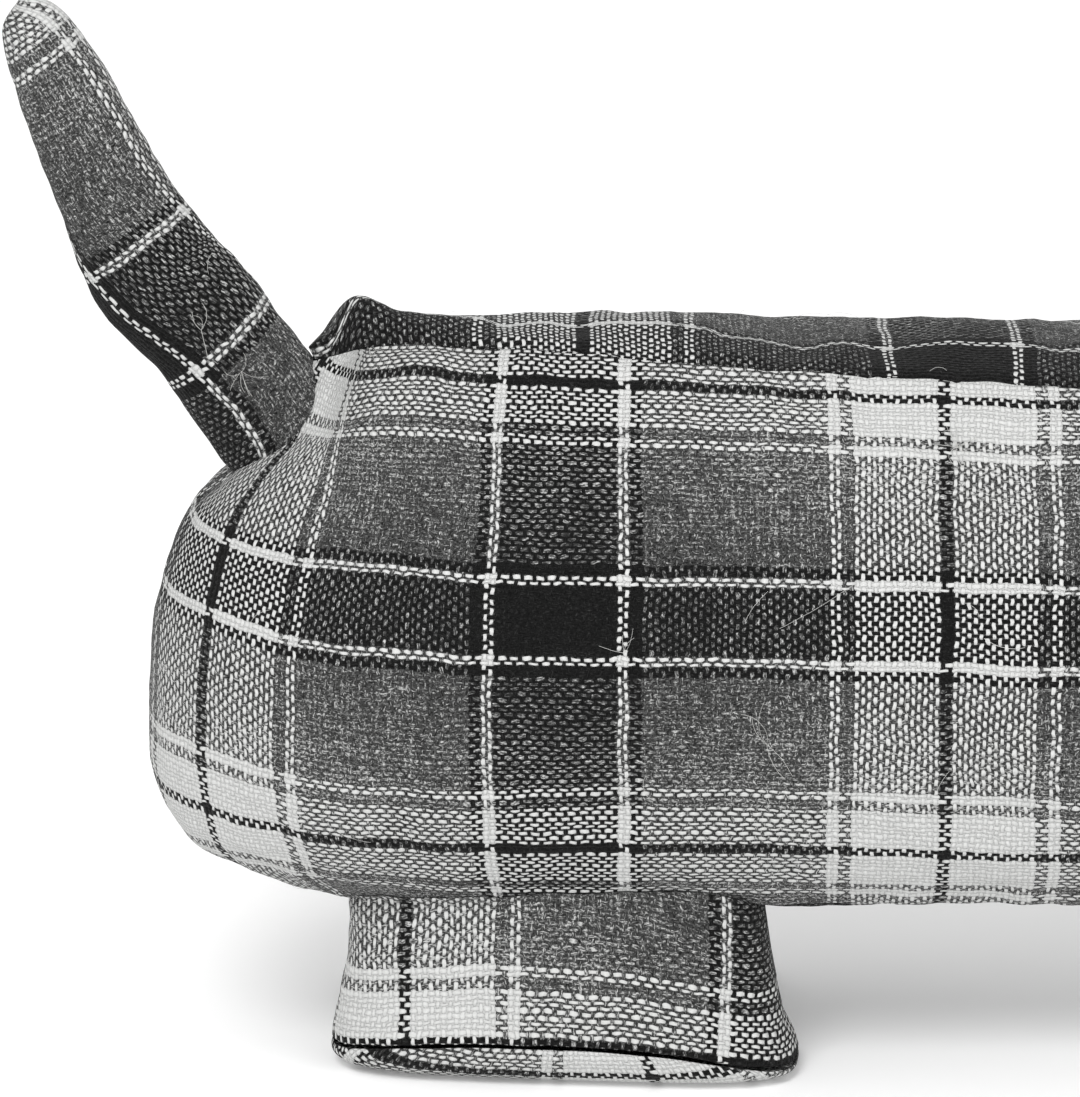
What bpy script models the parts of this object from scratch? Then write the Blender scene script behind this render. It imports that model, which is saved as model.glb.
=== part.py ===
"""Sausage-dog draught excluder, in metres, +Z up.

A long filled body wrapped in one band of cloth, closed by a narrow back panel and a flat belly
panel. A stuffed tail stands up from the rump. Four stuffed feet have their own sewn-in soles.
The head is plain, with two ears lying against it, a nose and two eyes.
The dog is modelled with its rump at x = 0 and its head towards +X, then centred on its bounding box.
"""
import math
from collections import namedtuple

import bmesh
import bpy
from mathutils import Matrix, Vector

# Driving dimensions
BODY_LENGTH = 0.700
BELLY_HEIGHT = 0.045
BACK_SEAM_HEIGHT = 0.177
BACK_CREST_HEIGHT = 0.185
CLOTH = 0.0024
GAP = 0.0003

# The side band, one row for each height, from the belly seam (rise 0) to the back seam (rise 1)
Level = namedtuple("Level", "rise half_width setback end_round")
BODY_LEVELS = [
    Level(0.00, 0.0380, 0.034, 0.055),
    Level(0.02, 0.0440, 0.022, 0.065),
    Level(0.06, 0.0500, 0.010, 0.074),
    Level(0.14, 0.0555, 0.004, 0.079),
    Level(0.24, 0.0580, 0.001, 0.081),
    Level(0.35, 0.0590, 0.000, 0.082),
    Level(0.48, 0.0580, 0.001, 0.082),
    Level(0.59, 0.0555, 0.004, 0.080),
    Level(0.70, 0.0515, 0.009, 0.076),
    Level(0.80, 0.0465, 0.016, 0.066),
    Level(0.89, 0.0410, 0.025, 0.052),
    Level(0.95, 0.0375, 0.034, 0.034),
    Level(1.00, 0.0350, 0.046, 0.012),
]
END_SQUARENESS = 0.80        # below 1 the plan of each end is squarer than an ellipse
ARC_STEPS = 9
SIDE_STEPS = 18
STATION_CROWDING = 0.75      # how strongly the sections crowd towards the two ends
BACK_COLUMNS = 6
BELLY_COLUMNS = 2

# The back narrows towards the rump, and half as much towards the chest
PINCH = 0.029
PINCH_START = 0.050
PINCH_REACH = 0.090
PINCH_FROM_RISE = 0.55
CHEST_SHARE = 0.5

# The back seam climbs towards the rump corner, where the end of the back panel stands up
SEAM_CLIMB = 0.008
SEAM_CLIMB_REACH = 0.120
CORNER_X = 0.060
CREST_CLIMB = 0.0024
CREST_CLIMB_X = 0.084
CREST_CLIMB_REACH = 0.060
CORNER_PEAK = 0.0045
CORNER_PEAK_REACH = 0.011
CROWN_FADE = 0.022           # the back's crown grows from each end of the panel over this length

# The rump is drawn in where the tail is sewn on
DIMPLE = 0.006
DIMPLE_HALF_WIDTH = 0.014
DIMPLE_RISE = 0.84
DIMPLE_RISE_REACH = 0.09

# The tail, one row for each section of its bent axis, from the tip to its root in the rump
TailRow = namedtuple("TailRow", "x z half_width half_thickness")
TAIL_TIP = (-0.0300, 0.2700)
TAIL_ROWS = [
    TailRow(-0.0292, 0.2680, 0.0058, 0.0045),
    TailRow(-0.0272, 0.2620, 0.0092, 0.0070),
    TailRow(-0.0212, 0.2475, 0.0116, 0.0088),
    TailRow(-0.0140, 0.2300, 0.0133, 0.0100),
    TailRow(-0.0070, 0.2145, 0.0147, 0.0110),
    TailRow(0.0018, 0.1995, 0.0172, 0.0120),
    TailRow(0.0150, 0.1860, 0.0165, 0.0128),
    TailRow(0.0240, 0.1725, 0.0168, 0.0135),
    TailRow(0.0325, 0.1595, 0.0168, 0.0135),
]
TAIL_ROOT = (0.0390, 0.1490)
TAIL_SIDES = 20

# A foot, one row for each height, from the sole's seam (rise 0) to the belly (rise 1)
FootRow = namedtuple("FootRow", "rise half_length half_depth shift")
FOOT_ROWS = [
    FootRow(0.00, 0.0595, 0.0235, 0.0000),
    FootRow(0.08, 0.0585, 0.0228, -0.0003),
    FootRow(0.22, 0.0562, 0.0215, -0.0010),
    FootRow(0.45, 0.0540, 0.0198, -0.0010),
    FootRow(0.75, 0.0528, 0.0186, -0.0018),
    FootRow(1.00, 0.0520, 0.0180, -0.0025),
]
FOOT_SQUARENESS = 0.62
FOOT_SIDES = 28
FOOT_TOP = BELLY_HEIGHT - GAP
SOLE_SEAM_HEIGHT = 0.0070
SOLE_SEAM_SLOPE = -0.050     # the seam is higher at the heel than at the toe
FOOT_TURN = math.radians(5)  # toes turned out
FOOT_SPREAD = 0.0265         # from the middle of the dog to the middle of a foot
REAR_FOOT_X = 0.1045
FRONT_FOOT_X = BODY_LENGTH - 0.1045
FAR_FOOT_SHARE = 0.93        # the far feet are a little shorter, as hand-sewn pouches differ

# The sole's rounded edge: distance in from the seam, share of the seam's height, and the normal
SoleRow = namedtuple("SoleRow", "inset height lean_in lean_up")
SOLE_ROWS = [
    SoleRow(0.0015, 0.55, 0.8, 0.6),
    SoleRow(0.0045, 0.15, 0.4, 0.9),
    SoleRow(0.0090, 0.00, 0.0, 1.0),
]
SOLE_RIM_WIDTH = 0.0023

# The head, one row for each section along it, counted from the front end of the body
HeadRow = namedtuple("HeadRow", "x z half_width half_height")
HEAD_BACK = (-0.082, 0.2050)
HEAD_ROWS = [
    HeadRow(-0.078, 0.2050, 0.0180, 0.0170),
    HeadRow(-0.066, 0.2060, 0.0330, 0.0310),
    HeadRow(-0.046, 0.2070, 0.0440, 0.0415),
    HeadRow(-0.020, 0.2070, 0.0480, 0.0460),
    HeadRow(0.008, 0.2025, 0.0455, 0.0445),
    HeadRow(0.034, 0.1955, 0.0375, 0.0380),
    HeadRow(0.060, 0.1895, 0.0300, 0.0315),
    HeadRow(0.090, 0.1840, 0.0255, 0.0265),
    HeadRow(0.118, 0.1800, 0.0225, 0.0230),
    HeadRow(0.138, 0.1780, 0.0180, 0.0190),
    HeadRow(0.149, 0.1775, 0.0110, 0.0120),
]
HEAD_FRONT = (0.153, 0.1775)
HEAD_SIDES = 28

# An ear: it follows the side of the head, then hangs straight down
EAR_MIDDLE_X = -0.024
EAR_TOP_ANGLE = math.radians(38)
EAR_SIDE_ANGLE = math.radians(96)
EAR_WRAP_STEPS = 6
EAR_HANG = 0.040
EAR_HANG_STEPS = 4
EAR_FLARE = 0.006
EAR_THICKNESS = 0.0045
EAR_CLEARANCE = 0.0007
EAR_HALF_WIDTH_TOP = 0.017
EAR_HALF_WIDTH_LOW = 0.029
EAR_LEAN = 0.010
EAR_COLUMNS = 6

NOSE_RADIUS = 0.0105
NOSE_PLACE = (0.1510, 0.1845)
EYE_RADIUS = 0.0060
EYE_X = 0.040
EYE_ANGLE = math.radians(52)

# Cloth colours, linear
GREY_CHECK = (0.155, 0.155, 0.155, 1.0)
DARK_CHECK = (0.060, 0.060, 0.062, 1.0)
BUTTON_BLACK = (0.012, 0.012, 0.012, 1.0)


def clear_scene():
    for item in list(bpy.data.objects):
        bpy.data.objects.remove(item, do_unlink=True)


def bell(value, middle, reach):
    """A smooth bump of height 1 around the middle."""
    return math.exp(-((value - middle) / reach) ** 2)


def smooth_step(value):
    value = min(max(value, 0.0), 1.0)
    return value * value * (3.0 - 2.0 * value)


def make_material(name, colour, roughness):
    material = bpy.data.materials.new(name)
    material.use_nodes = True
    shader = material.node_tree.nodes["Principled BSDF"]
    shader.inputs["Base Color"].default_value = colour
    shader.inputs["Roughness"].default_value = roughness
    shader.inputs["Metallic"].default_value = 0.0
    return material


def make_object(name, mesh, colour, parent, roughness=0.95):
    item = bpy.data.objects.new(name, mesh)
    bpy.context.scene.collection.objects.link(item)
    mesh.materials.append(make_material(name + "_cloth", colour, roughness))
    item.parent = parent
    return item


def finish_mesh(name, shape):
    bmesh.ops.recalc_face_normals(shape, faces=shape.faces[:])
    mesh = bpy.data.meshes.new(name)
    shape.to_mesh(mesh)
    shape.free()
    mesh.shade_smooth()
    mesh.set_sharp_from_angle(angle=math.radians(40))
    return mesh


def add_ring(shape, points):
    return [shape.verts.new(point) for point in points]


def bridge(shape, ring_a, ring_b):
    """Pairs of triangles between two closed rings with the same number of points."""
    count = len(ring_a)
    for index in range(count):
        after = (index + 1) % count
        shape.faces.new((ring_a[index], ring_a[after], ring_b[after]))
        shape.faces.new((ring_a[index], ring_b[after], ring_b[index]))


def fan(shape, ring, point):
    """Triangles from a closed ring to one point."""
    apex = shape.verts.new(point)
    for index, corner in enumerate(ring):
        shape.faces.new((corner, ring[(index + 1) % len(ring)], apex))


def inset_ring(points, distance):
    """Moves a ring's points inwards in plan. The ring runs anticlockwise seen from above."""
    moved = []
    for index, point in enumerate(points):
        before = points[index - 1]
        after = points[(index + 1) % len(points)]
        along = Vector((after[0] - before[0], after[1] - before[1], 0.0)).normalized()
        inwards = Vector((-along.y, along.x, 0.0))
        moved.append(Vector(point) + inwards * distance)
    return moved


def pinch(x):
    """How far the back seam is drawn towards the middle."""
    rear = math.exp(-max(x - PINCH_START, 0.0) / PINCH_REACH)
    front = math.exp(-max(BODY_LENGTH - x - PINCH_START, 0.0) / PINCH_REACH)
    return PINCH * (rear + CHEST_SHARE * front)


def seam_height(x):
    return BACK_SEAM_HEIGHT + SEAM_CLIMB * bell(x, CORNER_X, SEAM_CLIMB_REACH)


def crest_height(x):
    climb = CREST_CLIMB * bell(x, CREST_CLIMB_X, CREST_CLIMB_REACH)
    return BACK_CREST_HEIGHT + climb + CORNER_PEAK * bell(x, CORNER_X, CORNER_PEAK_REACH)


def body_stations(level):
    """Plan points of one side of the band, from the middle of the rump to the chest."""
    rear = level.setback
    front = BODY_LENGTH - level.setback
    share = smooth_step((level.rise - PINCH_FROM_RISE) / (1.0 - PINCH_FROM_RISE))
    stations = []
    for step in range(ARC_STEPS + 1):
        turn = 0.5 * math.pi * step / ARC_STEPS
        stations.append((rear + level.end_round * (1.0 - math.cos(turn)), turn))
    straight = front - rear - 2.0 * level.end_round
    for step in range(1, SIDE_STEPS):
        share_along = step / SIDE_STEPS
        share_along -= STATION_CROWDING * math.sin(2.0 * math.pi * share_along) / (2.0 * math.pi)
        stations.append((rear + level.end_round + straight * share_along, 0.5 * math.pi))
    for step in range(ARC_STEPS, -1, -1):
        turn = 0.5 * math.pi * step / ARC_STEPS
        stations.append((front - level.end_round * (1.0 - math.cos(turn)), turn))
    half = []
    for x, turn in stations:
        widest = level.half_width - share * pinch(x)
        half.append((x, widest * max(math.sin(turn), 0.0) ** END_SQUARENESS))
    return half


def body_ring(level):
    """The band's outline at one height: near side from rump to chest, then the far side back."""
    dimple_share = DIMPLE * bell(level.rise, DIMPLE_RISE, DIMPLE_RISE_REACH)
    half = body_stations(level)
    ring = []
    for x, y in half:
        ring.append((x, -y))
    for x, y in half[-2:0:-1]:
        ring.append((x, y))
    points = []
    for x, y in ring:
        height = BELLY_HEIGHT + level.rise * (seam_height(x) - BELLY_HEIGHT)
        if x < BODY_LENGTH / 2:
            x += dimple_share * bell(y, 0.0, DIMPLE_HALF_WIDTH)
        points.append(Vector((x, y, height)))
    return points


def lift(points, distance):
    return [Vector((point.x, point.y, point.z + distance)) for point in points]


def back_height(x, across):
    """Height of the back at a share of the way from the middle (0) to a seam (1 or -1)."""
    seam = seam_height(x)
    end = BODY_LEVELS[-1].setback
    fade = smooth_step((x - end) / CROWN_FADE) * smooth_step((BODY_LENGTH - end - x) / CROWN_FADE)
    return seam + (crest_height(x) - seam) * (1.0 - across * across) * fade


def ladder(shape, ring, columns, height_at, outline):
    """Closes a long ring with rungs that run from its near side to its far side.

    The rungs' heights are read at the places of the outline's points.
    """
    last = len(ring) // 2
    rungs = [[ring[0]]]
    for station in range(1, last):
        near = ring[station]
        far = ring[-station]
        rung = [near]
        for column in range(1, columns):
            across = 2.0 * column / columns - 1.0
            place = near.co.lerp(far.co, column / columns)
            place.z = height_at(outline[station].x, across)
            rung.append(shape.verts.new(place))
        rung.append(far)
        rungs.append(rung)
    rungs.append([ring[last]])
    for one, two in zip(rungs[:-1], rungs[1:]):
        if len(one) == 1:
            for column in range(columns):
                shape.faces.new((one[0], two[column], two[column + 1]))
        elif len(two) == 1:
            for column in range(columns):
                shape.faces.new((one[column], two[0], one[column + 1]))
        else:
            for column in range(columns):
                shape.faces.new((one[column], two[column], two[column + 1]))
                shape.faces.new((one[column], two[column + 1], one[column + 1]))


def flat_height(height):
    return lambda x, across: height


def back_surface(drop):
    return lambda x, across: back_height(x, across) - drop


def make_body_mesh():
    """The filled body, with shallow beds for the back and belly panels."""
    shape = bmesh.new()
    outlines = [body_ring(level) for level in BODY_LEVELS]
    depth = CLOTH + GAP
    belly_bed = add_ring(shape, lift(outlines[0], depth))
    rings = [belly_bed] + [add_ring(shape, outline) for outline in outlines]
    back_bed = add_ring(shape, lift(outlines[-1], -depth))
    rings.append(back_bed)
    for low, high in zip(rings[:-1], rings[1:]):
        bridge(shape, low, high)
    ladder(shape, belly_bed, BELLY_COLUMNS, flat_height(BELLY_HEIGHT + depth), outlines[0])
    ladder(shape, back_bed, BACK_COLUMNS, back_surface(depth), outlines[-1])
    return finish_mesh("body", shape)


def make_envelope_mesh():
    """The body with its panels on, grown by the sewing gap: it trims what is sewn to the body."""
    shape = bmesh.new()
    outlines = [body_ring(level) for level in BODY_LEVELS]
    rings = [add_ring(shape, outline) for outline in outlines]
    for low, high in zip(rings[:-1], rings[1:]):
        bridge(shape, low, high)
    ladder(shape, rings[0], BELLY_COLUMNS, flat_height(BELLY_HEIGHT), outlines[0])
    ladder(shape, rings[-1], BACK_COLUMNS, back_surface(0.0), outlines[-1])
    return finish_mesh("body_envelope", shape)


def make_panel_mesh(name, ring, columns, top, bottom):
    """A strip of cloth with the outline of a seam, let into its bed."""
    shape = bmesh.new()
    edges = []
    for surface in (bottom, top):
        points = []
        for cut, seam in zip(inset_ring(ring, GAP), ring):
            points.append(Vector((cut.x, cut.y, surface(seam.x, 1.0))))
        edge = add_ring(shape, points)
        ladder(shape, edge, columns, surface, ring)
        edges.append(edge)
    bridge(shape, edges[0], edges[1])
    return finish_mesh(name, shape)


def tube_section(centre, along, half_width, half_thickness, sides):
    """An oval across an axis that lies in the plane of the dog's middle."""
    across = Vector((-along.z, 0.0, along.x))
    side = Vector((0.0, 1.0, 0.0))
    points = []
    for step in range(sides):
        turn = 2.0 * math.pi * step / sides
        out = across * (half_width * math.cos(turn)) + side * (half_thickness * math.sin(turn))
        points.append(centre + out)
    return points


def make_tube_mesh(name, start, rows, end, sides):
    """A stuffed form from rows of (x, z, half size up and down, half size sideways)."""
    centres = [Vector((row[0], 0.0, row[1])) for row in [start] + rows + [end]]
    shape = bmesh.new()
    rings = []
    for index, row in enumerate(rows):
        along = (centres[index + 2] - centres[index]).normalized()
        points = tube_section(centres[index + 1], along, row[2], row[3], sides)
        rings.append(add_ring(shape, points))
    for one, two in zip(rings[:-1], rings[1:]):
        bridge(shape, one, two)
    fan(shape, rings[0], centres[0])
    fan(shape, rings[-1], centres[-1])
    return finish_mesh(name, shape)


def sole_seam(x):
    return SOLE_SEAM_HEIGHT + SOLE_SEAM_SLOPE * x


def foot_ring(row, inset, height_at):
    points = []
    for step in range(FOOT_SIDES):
        turn = 2.0 * math.pi * step / FOOT_SIDES
        cos_part = math.copysign(abs(math.cos(turn)) ** FOOT_SQUARENESS, math.cos(turn))
        sin_part = math.copysign(abs(math.sin(turn)) ** FOOT_SQUARENESS, math.sin(turn))
        x = row.shift + (row.half_length - inset) * cos_part
        points.append(Vector((x, (row.half_depth - inset) * sin_part, height_at(x))))
    return points


def sole_rings(thickness):
    """The sole's bowl, or a copy of it moved up and inwards by a thickness."""
    rings = []
    for row in SOLE_ROWS:
        def bowl_height(x, row=row):
            return sole_seam(x) * row.height + thickness * row.lean_up
        inset = row.inset + thickness * row.lean_in
        rings.append(foot_ring(FOOT_ROWS[0], inset, bowl_height))
    return rings


def make_foot_mesh():
    """The filled foot, from the belly down to the bed of its sole."""
    shape = bmesh.new()
    rings = []
    for row in reversed(FOOT_ROWS):
        def side_height(x, row=row):
            seam = sole_seam(x) + GAP / 2
            return seam + row.rise * (FOOT_TOP - seam)
        rings.append(add_ring(shape, foot_ring(row, 0.0, side_height)))
    rim = SOLE_RIM_WIDTH + 2.0 * GAP
    rings.append(add_ring(shape, foot_ring(FOOT_ROWS[0], rim, lambda x: sole_seam(x) + GAP / 2)))
    for points in sole_rings(CLOTH + GAP):
        rings.append(add_ring(shape, points))
    for one, two in zip(rings[:-1], rings[1:]):
        bridge(shape, one, two)
    fan(shape, rings[0], (FOOT_ROWS[-1].shift, 0.0, FOOT_TOP))
    fan(shape, rings[-1], (0.0, 0.0, CLOTH + GAP))
    return finish_mesh("foot", shape)


def make_sole_mesh():
    """The sole: a shallow cloth bowl that is flat where it stands."""
    shape = bmesh.new()
    edge = foot_ring(FOOT_ROWS[0], 0.0, lambda x: sole_seam(x) - GAP / 2)
    inner_edge = foot_ring(FOOT_ROWS[0], SOLE_RIM_WIDTH, lambda x: sole_seam(x) - GAP / 2)
    outer = [add_ring(shape, points) for points in [edge] + sole_rings(0.0)]
    inner = [add_ring(shape, points) for points in [inner_edge] + sole_rings(CLOTH)]
    bridge(shape, outer[0], inner[0])
    for one, two in zip(outer[:-1], outer[1:]):
        bridge(shape, one, two)
    for one, two in zip(inner[:-1], inner[1:]):
        bridge(shape, one, two)
    fan(shape, outer[-1], (0.0, 0.0, 0.0))
    fan(shape, inner[-1], (0.0, 0.0, CLOTH))
    return finish_mesh("sole", shape)


def head_section(x):
    """Middle height, half width and half height of the head at a place along it."""
    rows = HEAD_ROWS
    for one, two in zip(rows[:-1], rows[1:]):
        if x <= two.x:
            share = (x - one.x) / (two.x - one.x)
            return [a + (b - a) * share for a, b in zip(one[1:], two[1:])]
    return list(rows[-1][1:])


def head_point(x, angle, clearance):
    """A point off the head's surface, at an angle from straight up."""
    middle, half_width, half_height = head_section(x)
    y = (half_width + clearance) * math.sin(angle)
    z = middle + (half_height + clearance) * math.cos(angle)
    return Vector((BODY_LENGTH + x, y, z))


def ear_place(x, step, off):
    """A point of the ear, a distance off the head, at a step down its length."""
    if step <= EAR_WRAP_STEPS:
        share = step / EAR_WRAP_STEPS
        return head_point(x, EAR_TOP_ANGLE + share * (EAR_SIDE_ANGLE - EAR_TOP_ANGLE), off)
    share = (step - EAR_WRAP_STEPS) / EAR_HANG_STEPS
    place = head_point(x, EAR_SIDE_ANGLE, off)
    place.z -= EAR_HANG * share
    place.y += EAR_FLARE * share * share
    return place


def ear_half_width(share):
    """The ear widens from its sewn top and closes in a round end."""
    growth = EAR_HALF_WIDTH_TOP + (EAR_HALF_WIDTH_LOW - EAR_HALF_WIDTH_TOP) * smooth_step(share * 1.4)
    end = math.sqrt(max(1.0 - max((share - 0.72) / 0.30, 0.0) ** 2, 0.0))
    return growth * end


def make_ear_mesh(side):
    shape = bmesh.new()
    steps = EAR_WRAP_STEPS + EAR_HANG_STEPS
    sheets = []
    for off in (EAR_CLEARANCE, EAR_CLEARANCE + EAR_THICKNESS):
        sheet = []
        for step in range(steps + 1):
            share = step / steps
            width = ear_half_width(share)
            middle = EAR_MIDDLE_X + EAR_LEAN * share
            row = []
            for column in range(EAR_COLUMNS + 1):
                x = middle + width * (2.0 * column / EAR_COLUMNS - 1.0)
                place = ear_place(x, step, off)
                row.append(shape.verts.new((place.x, place.y * side, place.z)))
            sheet.append(row)
        sheets.append(sheet)
    for sheet in sheets:
        for step in range(steps):
            for column in range(EAR_COLUMNS):
                shape.faces.new((sheet[step][column], sheet[step][column + 1],
                                 sheet[step + 1][column + 1], sheet[step + 1][column]))
    inner, outer = [sheet_border(sheet) for sheet in sheets]
    bridge(shape, inner, outer)
    return finish_mesh("ear", shape)


def sheet_border(sheet):
    """The closed loop of points round the edge of a sheet of rows."""
    down = [row[-1] for row in sheet[1:-1]]
    back = [row[0] for row in sheet[-2:0:-1]]
    return sheet[0] + down + sheet[-1][::-1] + back


def make_ball_mesh(name, radius, squash):
    shape = bmesh.new()
    bmesh.ops.create_uvsphere(shape, u_segments=16, v_segments=10, radius=radius)
    bmesh.ops.scale(shape, vec=squash, verts=shape.verts[:])
    return finish_mesh(name, shape)


def add_trimmer(name, mesh, parent):
    """A hidden copy of a form, grown by the sewing gap, that trims the pieces sewn to it."""
    grown = mesh.copy()
    grown.name = name
    for vertex, normal in zip(grown.vertices, [v.normal.copy() for v in mesh.vertices]):
        vertex.co += normal * GAP
    trimmer = bpy.data.objects.new(name, grown)
    bpy.context.scene.collection.objects.link(trimmer)
    trimmer.parent = parent
    trimmer.hide_render = True
    trimmer.display_type = "WIRE"
    return trimmer


def trim(item, trimmer):
    cut = item.modifiers.new("Trim", "BOOLEAN")
    cut.operation = "DIFFERENCE"
    cut.solver = "EXACT"
    cut.object = trimmer


def make_feet(parent):
    foot_mesh = make_foot_mesh()
    sole_mesh = make_sole_mesh()
    for end, x in (("rear", REAR_FOOT_X), ("front", FRONT_FOOT_X)):
        for side, sign in (("near", -1), ("far", 1)):
            for kind, mesh in (("foot", foot_mesh), ("sole", sole_mesh)):
                own_mesh = mesh.copy()
                if side == "far":
                    own_mesh.transform(Matrix.Diagonal((FAR_FOOT_SHARE, 1.0, 1.0, 1.0)))
                piece = make_object(f"{kind}_{end}_{side}", own_mesh, GREY_CHECK, parent)
                piece.location = (x, sign * FOOT_SPREAD, 0.0)
                piece.rotation_euler = (0.0, 0.0, sign * FOOT_TURN)


def make_head(parent, body_trimmer):
    rows = [HeadRow(BODY_LENGTH + row.x, row.z, row.half_height, row.half_width) for row in HEAD_ROWS]
    back = (BODY_LENGTH + HEAD_BACK[0], HEAD_BACK[1])
    front = (BODY_LENGTH + HEAD_FRONT[0], HEAD_FRONT[1])
    head_mesh = make_tube_mesh("head", back, rows, front, HEAD_SIDES)
    head = make_object("head", head_mesh, GREY_CHECK, parent)
    trim(head, body_trimmer)
    head_trimmer = add_trimmer("head_trimmer", head_mesh, parent)
    for side, sign in (("near", -1), ("far", 1)):
        make_object("ear_" + side, make_ear_mesh(sign), DARK_CHECK, parent)
        eye_mesh = make_ball_mesh("eye", EYE_RADIUS, (1.0, 0.6, 1.0))
        eye = make_object("eye_" + side, eye_mesh, BUTTON_BLACK, parent, roughness=0.25)
        place = head_point(EYE_X, EYE_ANGLE, 0.0)
        eye.location = (place.x, sign * place.y, place.z)
        eye.rotation_euler = (sign * (0.5 * math.pi - EYE_ANGLE), 0.0, 0.0)
        trim(eye, head_trimmer)
    nose_mesh = make_ball_mesh("nose", NOSE_RADIUS, (0.9, 1.15, 0.85))
    nose = make_object("nose", nose_mesh, DARK_CHECK, parent)
    nose.location = (BODY_LENGTH + NOSE_PLACE[0], 0.0, NOSE_PLACE[1])
    trim(nose, head_trimmer)


def centre_on_bounds(parent):
    """Puts the middle of the dog's length at x = 0."""
    bpy.context.view_layer.update()
    graph = bpy.context.evaluated_depsgraph_get()
    lengths = []
    for item in bpy.context.scene.objects:
        if item.type == "MESH" and not item.hide_render:
            shown = item.evaluated_get(graph)
            lengths += [(shown.matrix_world @ vertex.co).x for vertex in shown.data.vertices]
    parent.location.x = -0.5 * (min(lengths) + max(lengths))


def build():
    clear_scene()
    dog = bpy.data.objects.new("dog", None)
    bpy.context.scene.collection.objects.link(dog)
    make_object("body", make_body_mesh(), GREY_CHECK, dog)
    back_ring = body_ring(BODY_LEVELS[-1])
    back_mesh = make_panel_mesh("back_panel", back_ring, BACK_COLUMNS,
                                back_surface(0.0), back_surface(CLOTH))
    make_object("back_panel", back_mesh, DARK_CHECK, dog)
    belly_ring = body_ring(BODY_LEVELS[0])
    belly_mesh = make_panel_mesh("belly_panel", belly_ring, BELLY_COLUMNS,
                                 flat_height(BELLY_HEIGHT + CLOTH), flat_height(BELLY_HEIGHT))
    make_object("belly_panel", belly_mesh, GREY_CHECK, dog)
    body_trimmer = add_trimmer("body_trimmer", make_envelope_mesh(), dog)
    tail_mesh = make_tube_mesh("tail", TAIL_TIP, TAIL_ROWS, TAIL_ROOT, TAIL_SIDES)
    tail = make_object("tail", tail_mesh, GREY_CHECK, dog)
    trim(tail, body_trimmer)
    make_feet(dog)
    make_head(dog, body_trimmer)
    centre_on_bounds(dog)
    bpy.context.view_layer.update()


build()
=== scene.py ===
import math
import random

import bmesh
import bpy
import numpy as np
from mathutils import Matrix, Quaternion, Vector, noise
from mathutils.bvhtree import BVHTree


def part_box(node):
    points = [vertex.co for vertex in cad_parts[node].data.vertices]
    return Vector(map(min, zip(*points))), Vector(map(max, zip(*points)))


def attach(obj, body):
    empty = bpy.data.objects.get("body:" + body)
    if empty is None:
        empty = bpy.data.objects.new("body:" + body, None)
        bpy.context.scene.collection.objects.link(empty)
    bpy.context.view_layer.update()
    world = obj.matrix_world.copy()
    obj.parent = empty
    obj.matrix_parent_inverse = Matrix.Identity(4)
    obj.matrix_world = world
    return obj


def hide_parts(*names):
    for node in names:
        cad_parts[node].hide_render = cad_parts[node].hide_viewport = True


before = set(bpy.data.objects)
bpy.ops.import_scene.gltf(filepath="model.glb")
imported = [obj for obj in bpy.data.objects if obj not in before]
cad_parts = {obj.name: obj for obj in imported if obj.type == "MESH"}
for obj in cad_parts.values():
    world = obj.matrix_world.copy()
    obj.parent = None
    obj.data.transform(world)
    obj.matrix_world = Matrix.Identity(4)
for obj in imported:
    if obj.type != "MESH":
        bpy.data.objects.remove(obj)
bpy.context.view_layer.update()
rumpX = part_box("body")[0].x          # lengths along the dog count from its rump
scene = bpy.context.scene


# Working habits: adding, selecting, reading, cutting cloth and sewing

def addToScene(name, data):
    made = bpy.data.objects.new(name, data)
    scene.collection.objects.link(made)
    return made


def selectOnly(*pieces):
    if bpy.context.object and bpy.context.object.mode != "OBJECT":
        bpy.ops.object.mode_set(mode="OBJECT")
    bpy.ops.object.select_all(action="DESELECT")
    for piece in pieces:
        piece.select_set(True)
    bpy.context.view_layer.objects.active = pieces[0] if pieces else None


def inEditMode(piece, work):
    selectOnly(piece)
    bpy.ops.object.mode_set(mode="EDIT")
    work()
    bpy.ops.object.mode_set(mode="OBJECT")


def readAll(collection, name, kind, width=1):
    values = np.empty(len(collection) * width, dtype=kind)
    collection.foreach_get(name, values)
    return values.reshape(-1, width) if width > 1 else values


def coordinates(piece):
    return readAll(piece.data.vertices, "co", np.float64, 3)


def placeVertices(piece, places):
    piece.data.vertices.foreach_set("co", np.ascontiguousarray(places, dtype=np.float64).reshape(-1))
    piece.data.update()


def vertexNormals(piece):
    return readAll(piece.data.vertices, "normal", np.float64, 3)


def seamDistances(piece):
    values = readAll(piece.data.attributes["seamDistance"].data, "value", np.float32)
    return np.maximum(values.astype(float), 0.0)


def layThreads(mesh, counts):
    # the cloth's own UV map holds the warp and weft count at each vertex
    mesh.uv_layers[0].name = "threads"
    corners = counts[readAll(mesh.loops, "vertex_index", np.int32)]
    mesh.uv_layers[0].data.foreach_set("uv", corners.astype(np.float32).reshape(-1))


def surfaceOf(*pieces):
    shape = bmesh.new()
    for piece in pieces:
        shape.from_mesh(piece.data)
    tree = BVHTree.FromBMesh(shape)
    shape.free()
    return tree


def applyPlace():
    bpy.ops.object.transform_apply(location=True, rotation=True, scale=True)


def putAtRump(piece):
    places = coordinates(piece)
    places[:, 0] += rumpX
    placeVertices(piece, places)


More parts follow.
